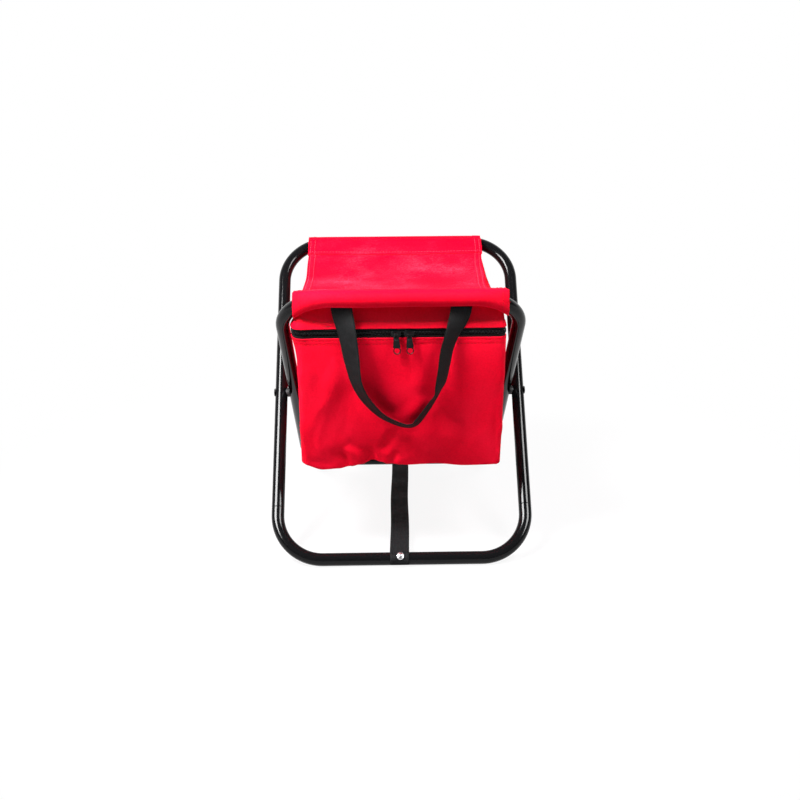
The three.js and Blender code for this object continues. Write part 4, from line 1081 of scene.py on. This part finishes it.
def slackened(grid):
    """How far each point of the bag's wall moves when let go as slack cloth, held at zip and floor."""
    wall = grid[:WALL_ROWS:2, ::2]
    rows, cols = wall.shape[:2]
    faces = grid_faces(rows, cols, True, 0, np.zeros(cols + 1), np.zeros(rows))[0]
    piece = stand("bag_slack", plain_mesh("bag_slack", wall.reshape(-1, 3), faces))
    pins = piece.vertex_groups.new(name="pins")
    loose = piece.vertex_groups.new(name="loose")
    depth = SHELL_TOP - np.array(BAG_LEVELS[::2])
    seam = np.abs(BASE_OUT[::2, 0] * BASE_OUT[::2, 1]) > 0.2
    for r in range(rows):
        row = list(range(r * cols, (r + 1) * cols))
        held = depth[r] < HELD_DEPTH or r == rows - 1
        pins.add(row, 1.0 if held else 0.0, "REPLACE")
        loose.add(row, float(step(depth[r], 90, 120)), "REPLACE")
        if not held:
            pins.add([row[c] for c in np.flatnonzero(seam)], CORNER_HOLD, "REPLACE")
    cloth = piece.modifiers.new("cloth", "CLOTH")
    for key, value in CLOTH_SETTINGS.items():
        setattr(cloth.settings, key, value)
    cloth.settings.effector_weights.gravity = SLACK_WEIGHT
    cloth.collision_settings.use_collision = False
    for moment in range(1, SLACK_MOMENTS + 1):
        bpy.context.scene.frame_set(moment)
    made = piece.evaluated_get(bpy.context.evaluated_depsgraph_get()).to_mesh()
    spots = np.empty(3 * rows * cols)
    made.vertices.foreach_get("co", spots)
    bpy.data.objects.remove(piece)
    bpy.context.scene.frame_set(1)
    moved = spots.reshape(rows, cols, 3) / MM - wall
    size = np.maximum(np.linalg.norm(moved, axis=2, keepdims=True), 1e-9)
    moved *= SLACK_REACH * np.tanh(size / SLACK_REACH) / size
    round_again = np.concatenate([moved, moved[:, :1]], axis=1)
    r, c = np.meshgrid(np.arange(WALL_ROWS) / 2, COLUMN / 2, indexing="ij")
    fine = np.zeros_like(grid)
    fine[:WALL_ROWS] = on_grid(round_again, r.ravel(), c.ravel()).reshape(WALL_ROWS, COLS, 3)
    return fine


bag_out = bag_grid(0.0)
bag_in = bag_grid(CLOTH)
slack = slackened(bag_out)
bag_out += slack
bag_in += slack
bag = shell("bag_cloth", bag_out, bag_in, red_cloth, around=True, capped=False)

# Lining, carried out to the zip along its upper rows
LINING_INSET = 6.4
LINING_T = 1.0
FLARE_ROWS = 5
lining_out = bag_grid(LINING_INSET, 0.5, PLAIN_LEVELS)
lining_in = bag_grid(LINING_INSET + LINING_T, 0.5, PLAIN_LEVELS)
mouth, mouth_out = plan(BAG_HX - CLOTH - 0.2, BAG_HY - CLOTH - 0.2, BAG_CORNER - CLOTH)
mouth = mouth + mouth_out * zip_bulge(COLUMN)[:, None]
for r in range(FLARE_ROWS):
    flare = (1 - r / (FLARE_ROWS - 1)) ** 2
    lining_out[r, :, :2] += (mouth - lining_out[r, :, :2]) * 0.96 * flare
    lining_in[r, :, :2] += (mouth - lining_in[r, :, :2]) * 0.78 * flare
lining = shell("bag_foil", lining_out, lining_in, foil, around=True, capped=False)

# Zip along the front and both sides, and the bag's rear edge behind its ends
ZIP_COLS = COLUMN[(BASE_PLAN[:, 1] < ZIP_END_Y) & (COLUMN > LEFT_START - 1)]
REAR_COLS = np.concatenate([COLUMN[ZIP_COLS[-1] + 1:], COLUMN[:ZIP_COLS[0]]])
TAPE_FACES = (-1.35, -2.2)
TAPE_GAP = 2.2
TAPE_TUCK = 2.6
REAR_EDGE = (SHELL_TOP - 3.0, LID_BOTTOM - 0.4)
LOW_TAPE = (SHELL_TOP - TAPE_TUCK, ZIP_Z - TAPE_GAP)
HIGH_TAPE = (ZIP_Z + TAPE_GAP, LID_BOTTOM + TAPE_TUCK)


def mouth_spots(cols, outset):
    """Places along the mouth of the bag in plan."""
    return BASE_PLAN[cols] + BASE_OUT[cols] * (outset + zip_bulge(cols))[:, None]


def band(name, cols, outsets, low, high, rows, material):
    """Strip along the mouth of the bag between two heights and two distances out."""
    levels = np.linspace(high, low, rows)
    outer, inner = [np.array([[(x, y, z) for x, y in mouth_spots(cols, outset)] for z in levels])
                    for outset in outsets]
    return shell(name, outer, inner, material)


rear_edge = band("bag_rear_edge", REAR_COLS, (0.0, -CLOTH), *REAR_EDGE, 8, red_cloth)
tape_low = band("zip_tape_low", ZIP_COLS, TAPE_FACES, *LOW_TAPE, 5, black_tape)
tape_up = band("zip_tape_high", ZIP_COLS, TAPE_FACES, *HIGH_TAPE, 5, black_tape)

COIL_PITCH = 1.7
COIL_OUT = -0.9
COIL_RIM = ((-0.6, 0.0), (-0.42, 0.4), (0.0, 0.55), (0.42, 0.4), (0.6, 0.0), (0.42, -0.4), (0.0, -0.55),
            (-0.42, -0.4))
COIL_RINGS = ((-0.75, 0.55), (-0.45, 1.0), (1.3, 1.0), (2.3, 0.5))


def coil(name, level):
    """Half of the zip's chain: rounded teeth, gripping between those of the other half."""
    spots = mouth_spots(ZIP_COLS, COIL_OUT)
    points = np.column_stack([spots, np.full(len(spots), ZIP_Z)])
    dist = running(points)
    marks = np.arange(0.5 * COIL_PITCH, dist[-1], COIL_PITCH)
    places = at_marks(marks, dist, points)
    ways = unit(at_marks(marks + 0.5, dist, points) - places)
    teeth = Beads()
    for place, along, out in zip(places, ways, np.cross(ways, (0, 0, 1.0))):
        middle = place + along * (0.25 * COIL_PITCH * level) + out * 0.1
        teeth.add([[middle + along * (a * share) + out * (b * share) + np.array([0, 0, level * high])
                    for a, b in COIL_RIM] for high, share in COIL_RINGS])
    return teeth.piece(name, black_coil)


coil_low = coil("zip_coil_low", -1)
coil_up = coil("zip_coil_high", 1)


# Lid: cloth strip from the zip up under the seat, and the padded top

LID_SEAM = 7.0
LID_STOPS = (-0.6, 0, 0.8, 1.8, 3.0, 4.4, 5.6, 6.3, LID_SEAM, 7.7, 8.4, 9.6, 11, 13, 15.5, 18, 20.5, 23, 25)


def lid_top_at(x, y):
    return np.minimum(LID_TOP, seat_under(x, y) - 2.2)


def drawn_in(points, q):
    """Points in plan drawn in by a share towards the middle line."""
    middle = np.column_stack([np.clip(points[:, 0], -FLOOR_HALF_X, FLOOR_HALF_X), np.zeros(COLS)])
    return points * (1 - q) + middle * q


def lid_grid(inset):
    points, out = plan(BAG_HX - inset, BAG_HY - inset, max(3.0, BAG_CORNER - inset))
    x, y = points.T
    grid = []
    full = zip_bulge(COLUMN)
    corner = hump(points, -126, -146, 26, 30)
    for d in LID_STOPS:
        q = max(0, d) / LID_STOPS[-1]
        push = -2.6 * min(1, 3 * q) - 5.0 * q ** 1.6
        push = push + 0.6 * np.sin(x / 13.0 + y / 17.0) * math.sin(math.pi * q)
        crease = np.exp(-((x + 122 - 2.6 * (14.6 - d)) / 8) ** 2) * (y < -140)
        push = push - 1.8 * crease * math.sin(math.pi * min(1, q + 0.1))
        push = push + full * (1 - q) + corner * math.sin(math.pi * min(1, q + 0.15))
        if inset == 0:
            push = push - 0.7 * math.exp(-((d - LID_SEAM) / 0.8) ** 2)
        xy = points + out * push[:, None]
        top = lid_top_at(*xy.T) - inset
        grid.append(np.column_stack([xy, LID_BOTTOM + d + (top - LID_BOTTOM - LID_STOPS[-1]) * q]))
    edge = grid[-1][:, :2]
    for q in FLOOR_RINGS:
        xy = drawn_in(edge, q)
        grid.append(np.column_stack([xy, lid_top_at(*xy.T) - inset]))
    return np.array(grid)


lid_out = lid_grid(0.0)
lid_in = lid_grid(CLOTH)
lid = shell("lid_cloth", lid_out, lid_in, red_cloth, around=True, capped=False)

LID_PAD_INSET = 15


def lid_pad():
    """Quilted lining under the lid."""
    outer = []
    inner = []
    points = plan(BAG_HX - LID_PAD_INSET, BAG_HY - LID_PAD_INSET, 8.0)[0]
    for q in np.linspace(0, 1, 16):
        xy = drawn_in(points, q)
        quilt = 0.5 * np.sin(xy[:, 0] / 8.0) * np.sin(xy[:, 1] / 9.0)
        top = lid_top_at(*xy.T)
        rim = 1.8 * math.exp(-(q / 0.06) ** 2)
        outer.append(np.column_stack([xy, top - 7.4 + quilt + rim]))
        inner.append(np.column_stack([xy, top - 1.8]))
    return shell("lid_foil", np.array(outer), np.array(inner), foil, around=True, capped=False)


lid_lining = lid_pad()

SEAM_SPOTS = 1600
bag_sewing = Stitching()
lid_sewing = Stitching()
zip_ends = (ZIP_COLS[0] + 0.5, ZIP_COLS[-1] - 0.5)
for depth in BAG_SEAMS:
    row = BAG_STOPS.index(depth)
    bag_sewing.sew(bag_out, bag_in, (row, row), zip_ends, SEAM_SPOTS)
row = LID_STOPS.index(LID_SEAM)
lid_sewing.sew(lid_out, lid_in, (row, row), zip_ends, SEAM_SPOTS)
bag_stitches = bag_sewing.piece("bag_stitches", red_thread)
lid_stitches = lid_sewing.piece("lid_stitches", red_thread)

rides(bag, "bag_tub", "bag_shell", True)
rides(rear_edge, "bag_tub", None, True)
rides(lining, "bag_tub", ["bag_lining", "bag_foam"], True)
rides(bag_stitches, "bag_tub", None, True)
rides(tape_low, "bag_tub", "zip_tape_lower", True)
rides(coil_low, "bag_tub", "zip_coil_lower", True)
rides(lid, "seat_cloth", "bag_lid", True)
rides(lid_lining, "seat_cloth", ["lid_lining", "lid_foam"], True)
rides(lid_stitches, "seat_cloth", None, True)
rides(tape_up, "seat_cloth", "zip_tape_upper", True)
rides(coil_up, "seat_cloth", "zip_coil_upper", True)


# Zip sliders and pulls

PLATE_T = 1.2
PLATE_GAP = 3.5
SLIDER_FACE = -BAG_HY - 0.6 - 0.3 - PLATE_T
SLIDER_BACK = SLIDER_FACE + PLATE_T + PLATE_GAP
SLIDER_HALF = (6.0, 4.5)
BAIL_R = 0.72
PULL_TOP = ZIP_Z - 1.8
PULL_END = ZIP_Z - 17.0
PULL_T = 1.8
PULL_STEPS = 14
PULL_WIRE_R = 0.68
EYE_RINGS = ((-1, 1.4), (-1, 2.1), (-0.8, 2.25), (0.8, 2.25), (1, 2.1), (1, 1.4), (-1, 1.4))


def plate(name, outline, depth_from, depth_to, edge=0.25):
    """Flat piece: an outline of [x, z] points with softened edges, between two depths along y."""
    outline = np.array(outline, float)
    away = unit(outline - outline.mean(axis=0))
    s = edge if depth_to > depth_from else -edge
    rings = []
    for y, inset in ((depth_from, 1), (depth_from + 0.3 * s, 0.3), (depth_from + s, 0),
                     (depth_to - s, 0), (depth_to - 0.3 * s, 0.3), (depth_to, 1)):
        rings.append([(x, y, z) for x, z in outline - away * (inset * edge)])
    return skin(name, rings, slider_paint)


def wire(name, path, radius, across, sides=10):
    """Round wire along a path that lies flat to a direction across it."""
    path = np.asarray(path, float)
    along = unit(np.gradient(path, axis=0))
    side = unit(np.cross(along, across))
    rings = [p + radius * (np.cos(circle(sides)) * a + np.sin(circle(sides)) * b)
             for p, a, b in zip(path, side, np.cross(side, along))]
    return skin(name, rings, slider_paint)


def oval(cx, cz, half_x, half_z, power=3.0, count=40):
    angle = np.linspace(0, 2 * math.pi, count, endpoint=False)
    c = np.cos(angle)
    s = np.sin(angle)
    x = cx + half_x * np.sign(c) * np.abs(c) ** (2 / power)
    z = cz + half_z * np.sign(s) * np.abs(s) ** (2 / power)
    return np.stack([x, z], axis=1)


def slider(word, x, side):
    """Two plates, narrower at the tail, with a post between them and a bail in front."""
    outline = oval(x, ZIP_Z, *SLIDER_HALF, 3.4)
    tail = np.clip((outline[:, 0] - x) * side / SLIDER_HALF[0], -1, 1)
    outline[:, 1] = ZIP_Z + (outline[:, 1] - ZIP_Z) * (1 - 0.14 * (1 + tail))
    front = plate(f"slider_face_{word}", outline, SLIDER_FACE, SLIDER_FACE + PLATE_T)
    back = plate(f"slider_back_{word}", outline, SLIDER_BACK, SLIDER_BACK + PLATE_T)
    web = oval(x - side * 4.5, ZIP_Z, 1.5, 0.7)
    post = plate(f"slider_post_{word}", web, SLIDER_FACE + 0.6, SLIDER_BACK + 0.6)
    arch = [(x + 3.0 * math.cos(a), SLIDER_FACE + 0.5 - 4.3 * math.sin(a) ** 0.6, ZIP_Z)
            for a in np.linspace(0, math.pi, 21)]
    bail = wire(f"slider_bail_{word}", arch, BAIL_R, (0, 0, 1))
    return join(f"slider_{word}_body", [front, back, post, bail])


def pull(word, x, lean):
    """Flared tab with a raised middle, a rolled eye round the bail and a wire loop, hung at a small lean."""
    outline = []
    for i in range(PULL_STEPS + 1):
        q = i / PULL_STEPS
        width = 2.0 + 1.1 * min(1, q / 0.16) ** 0.6 + 1.7 * max(0, (q - 0.16) / 0.84)
        if q > 0.93:
            width -= 1.6 * ((q - 0.93) / 0.07) ** 2
        outline.append((width, PULL_TOP + (PULL_END - PULL_TOP) * q))

    def both_sides(rows, inset):
        return [(x + w - inset, z) for w, z in rows] + [(x - w + inset, z) for w, z in reversed(rows)]

    tab = plate(f"pull_tab_{word}", both_sides(outline, 0), BAIL_Y + PULL_T / 2, BAIL_Y - PULL_T / 2, 0.45)
    boss = plate(f"pull_boss_{word}", both_sides(outline[4:12], 1.3), BAIL_Y - 0.7, BAIL_Y - 1.45, 0.4)
    angle = np.linspace(0, 2 * math.pi, 30)
    eye = skin(f"pull_eye_{word}", [
        [(x + s * 1.9, BAIL_Y + r * math.cos(a), ZIP_Z + r * math.sin(a)) for a in angle[:-1]]
        for s, r in EYE_RINGS], slider_paint, capped=False)
    loop = [(x + 3.9 * math.cos(a), BAIL_Y, PULL_END - 3.2 + 4.2 * math.sin(a))
            for a in np.linspace(0.72 * math.pi, 2.28 * math.pi, 31)]
    ring = wire(f"pull_wire_{word}", loop, PULL_WIRE_R, (0, 1, 0))
    made = join(f"pull_{word}_tab", [tab, boss, eye, ring])
    pin = Vector((x, BAIL_Y, ZIP_Z)) * MM
    made.data.transform(Matrix.Translation(pin) @ Matrix.Rotation(lean, 4, "Y") @ Matrix.Translation(-pin))
    return made


for word, x, side, lean in (("left", SLIDER_X[0], -1, -0.07), ("right", SLIDER_X[1], 1, -0.05)):
    rides(slider(word, x, side), f"slider_{word}", f"zip_slider_{word}", True)
    rides(pull(word, x, lean), f"pull_{word}", f"zip_pull_{word}", True)


# Webbing: carry handle and floor strap

def curve_points(spots, count):
    """Smooth curve through points, evenly spaced."""
    spots = np.asarray(spots, float)
    fine = []
    padded = np.concatenate([[2 * spots[0] - spots[1]], spots, [2 * spots[-1] - spots[-2]]])
    for i in range(1, len(padded) - 2):
        p0, p1, p2, p3 = padded[i - 1:i + 3]
        for t in np.linspace(0, 1, 24, endpoint=False):
            fine.append(0.5 * (2 * p1 + (p2 - p0) * t + (2 * p0 - 5 * p1 + 4 * p2 - p3) * t ** 2
                               + (3 * p1 - p0 - 3 * p2 + p3) * t ** 3))
    fine.append(spots[-1])
    dist = running(np.array(fine))
    return at_marks(np.linspace(0, dist[-1], count), dist, np.array(fine))


def ribbon(name, points, wide, material, width=WEB_W, thickness=WEB_T):
    """Webbing along points, each with the way across it. The edges are rounded and the face is crowned."""
    along = unit(np.gradient(points, axis=0))
    cross = unit(wide - (wide * along).sum(axis=1, keepdims=True) * along)
    normal = np.cross(along, cross)
    outer = []
    inner = []
    for s in np.linspace(-1, 1, 15):
        edge = (1 - abs(s) ** 8) ** 0.5 * 0.5 * thickness + 0.12
        outer.append(points + cross * (s * width / 2) + normal * edge)
        inner.append(points + cross * (s * width / 2) - normal * edge)
    return shell(name, np.array(outer).transpose(1, 0, 2), np.array(inner).transpose(1, 0, 2), material)


# Places of the handle's middle line, with the share of a quarter turn that sets it on edge
HANDLE = (
    (-70.6, -151.8, 346.0, 0), (-69.4, -152.8, 337.0, 0.04), (-64.2, -159.8, 314.5, 0.3),
    (-59.7, -162.5, 283.5, 0.42), (-57.6, -162.6, 269.0, 0.52), (-53.8, -162.0, 251.5, 0.58),
    (-43.8, -160.1, 231.0, 0.6), (-26.6, -157.2, 210.5, 0.64), (-9.0, -156.2, 199.5, 0.66),
    (6.0, -156.1, 194.6, 0.66), (15.5, -156.1, 196.6, 0.66), (22.5, -156.2, 205.0, 0.67),
    (30.5, -156.4, 216.5, 0.69), (38.0, -157.4, 229.0, 0.73), (43.4, -159.0, 239.0, 0.77),
    (46.8, -160.6, 251.0, 0.62), (50.4, -161.4, 272.0, 0.57), (53.6, -160.9, 293.0, 0.52),
    (60.0, -159.6, 313.5, 0.43), (68.6, -153.4, 334.0, 0.1), (71.2, -151.8, 346.0, 0.03),
)
handle_line = curve_points(HANDLE, 190)
handle_along = unit(np.gradient(handle_line[:, :3], axis=0))
flat_way = unit(np.cross(handle_along, (0, 1.0, 0)))
edge_way = np.cross(flat_way, handle_along)
quarter = (np.maximum(handle_line[:, 3], 0) * math.pi / 2)[:, None]
handle_wide = flat_way * np.cos(quarter) - edge_way * np.sin(quarter)
handle = ribbon("handle_webbing", handle_line[:, :3], handle_wide, black_webbing)
rides(handle, "handle", "carry_handle", True)

# Floor strap, lapped over both foot rails
STRAP_R = TUBE_R + 0.35 + WEB_T / 2
STRAP_LAP = math.radians(112)
STRAP_SAG = 3.0


def strap_lap(x, side, share):
    angle = STRAP_LAP * share
    return x, side * (RAIL_Y + STRAP_R * math.sin(angle)), FOOT_Z + STRAP_R * math.cos(angle)


strap_points = [strap_lap(STRAP_X[0], -1, 1 - i / 14) for i in range(15)]
for t in np.linspace(0, 1, 60)[1:-1]:
    sag = 4 * STRAP_SAG * t * (1 - t)
    ripple = 0.5 * math.sin(t * 41) * math.exp(-((t - 0.62) / 0.3) ** 2)
    x = STRAP_X[0] + (STRAP_X[1] - STRAP_X[0]) * t + 0.7 * math.sin(9 * t) * math.sin(math.pi * t)
    strap_points.append((x, -RAIL_Y + 2 * RAIL_Y * t, FOOT_Z + STRAP_R - sag + ripple))
strap_points += [strap_lap(STRAP_X[1], 1, i / 14) for i in range(15)]
strap_points = np.array(strap_points)
strap = ribbon("floor_strap_webbing", strap_points, np.tile(X_AXIS, (len(strap_points), 1)), black_webbing)
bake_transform(strap)
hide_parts("floor_strap")


# Area of each cloth sheet, worked out and then not used

def declare(piece):
    """Area of one side of a sheet, worked out from its faces and then not used."""
    work = bmesh.new()
    work.from_mesh(piece.data)
    area = sum(face.calc_area() for face in work.faces) / 2
    work.free()


declare(seat)
declare(rear_sleeve)
declare(front_sleeve)
declare(handle)
declare(strap)


# Camera at the photograph's place

PHOTO = 800
FOCAL_PX = 958.87
SENSOR = 36.0
PITCH = 0.36672
YAW = 0.016076
ROLL = -0.005512
CAMERA = (-0.01972, -1.24150, 0.64593)
camera_data = bpy.data.cameras.new("camera")
camera_data.sensor_width = SENSOR
camera_data.lens = FOCAL_PX / PHOTO * SENSOR
camera_data.dof.use_dof = False
camera_data.clip_start = 0.05
camera_data.clip_end = 50
camera = stand("camera", camera_data)
camera.location = CAMERA
forward = Vector((math.sin(YAW) * math.cos(PITCH), math.cos(YAW) * math.cos(PITCH), -math.sin(PITCH)))
look_at = forward.to_track_quat("-Z", "Y").to_matrix().to_4x4()
camera.rotation_euler = (look_at @ Matrix.Rotation(ROLL, 4, "Z")).to_euler()
bpy.context.scene.camera = camera

# Floor, white where it is seen and dimmer where it only sends light back, glowing away from the stool
FLOOR = 30000.0
FLOOR_CORNERS = [(-FLOOR, -FLOOR, 0), (FLOOR, -FLOOR, 0), (FLOOR, FLOOR, 0), (-FLOOR, FLOOR, 0)]
FLOOR_DROP = 0.0004
FLOOR_HIDDEN = (0.35, 0.34, 0.35, 1)
FLOOR_SEEN = (0.90, 0.86, 0.90, 1)
FLOOR_GLOW = (0.2, 0.7, 0.92, 1.0)
WHITE = (1, 1, 1, 1)
SHOWN = ("Is Glossy Ray", "Is Transmission Ray")


def shader_graph(block):
    block.use_nodes = True
    block.node_tree.nodes.clear()
    return Graph(block.node_tree)


floor = stand("floor", plain_mesh("floor", FLOOR_CORNERS, [(0, 1, 2, 3)]))
floor.location.z = -FLOOR_DROP
floor_material = bpy.data.materials.new("floor_white")
floor.data.materials.append(floor_material)
graph = shader_graph(floor_material)
seen = graph.rays("Is Camera Ray", *SHOWN)
away = graph.node("ShaderNodeVectorMath", graph.place(), operation="LENGTH").outputs["Value"]
far = graph.span(away, *FLOOR_GLOW, interpolation_type="SMOOTHSTEP")
tint = graph.node("ShaderNodeMix", seen, data_type="RGBA")
tint.inputs[6].default_value = FLOOR_HIDDEN
tint.inputs[7].default_value = FLOOR_SEEN
diffuse = graph.node("ShaderNodeBsdfDiffuse", tint.outputs[2])
glow = graph.node("ShaderNodeEmission")
mix = graph.node("ShaderNodeMixShader", graph.mul(seen, far), diffuse.outputs[0], glow.outputs[0])
graph.node("ShaderNodeOutputMaterial", mix.outputs[0])

# White sweep behind the object for every ray that shows it, a dim room behind the camera
ROOM_LEVEL = 0.05
SWEEP = (0.1, 0.6, 0.06, 1.0)
world = bpy.data.worlds.new("studio")
bpy.context.scene.world = world
graph = shader_graph(world)
direct = graph.rays("Is Camera Ray")
behind = graph.span(graph.parts(graph.place("Generated"))["Y"], *SWEEP, interpolation_type="SMOOTHSTEP")
mirrored = graph.mul(graph.rays(*SHOWN), graph.math("SUBTRACT", 1.0, direct))
sweep = graph.node("ShaderNodeBackground", WHITE, graph.add(graph.mul(mirrored, behind), direct))
room = graph.node("ShaderNodeBackground", WHITE, ROOM_LEVEL)
white = graph.rays("Is Camera Ray", *SHOWN)
mix = graph.node("ShaderNodeMixShader", white, room.outputs[0], sweep.outputs[0])
graph.node("ShaderNodeOutputWorld", mix.outputs[0])


def lamp(name, place, target, size, power, gloss):
    """Area lamp that lights either gloss or everything else."""
    data = bpy.data.lights.new(name, "AREA")
    data.shape = "RECTANGLE"
    data.size, data.size_y = size
    data.energy = power
    made = stand(name, data)
    made.location = place
    made.visible_glossy = gloss
    made.visible_diffuse = not gloss
    made.rotation_euler = (Vector(target) - Vector(place)).to_track_quat("-Z", "Y").to_euler()


lamp("key", (-0.78, -0.56, 1.51), (0, -0.1, 0.24), (0.50, 0.50), 70, False)
lamp("strip_left", (-1.08, -0.72, 1.22), (0, 0, 0.2), (0.80, 0.95), 135, True)
lamp("fill", (0.66, -0.56, 1.52), (0, 0, 0.24), (0.50, 0.50), 25, False)
lamp("strip_right", (1.10, -0.74, 1.12), (0, 0, 0.2), (0.60, 0.95), 54, True)

bpy.context.scene.view_settings.view_transform = "Standard"
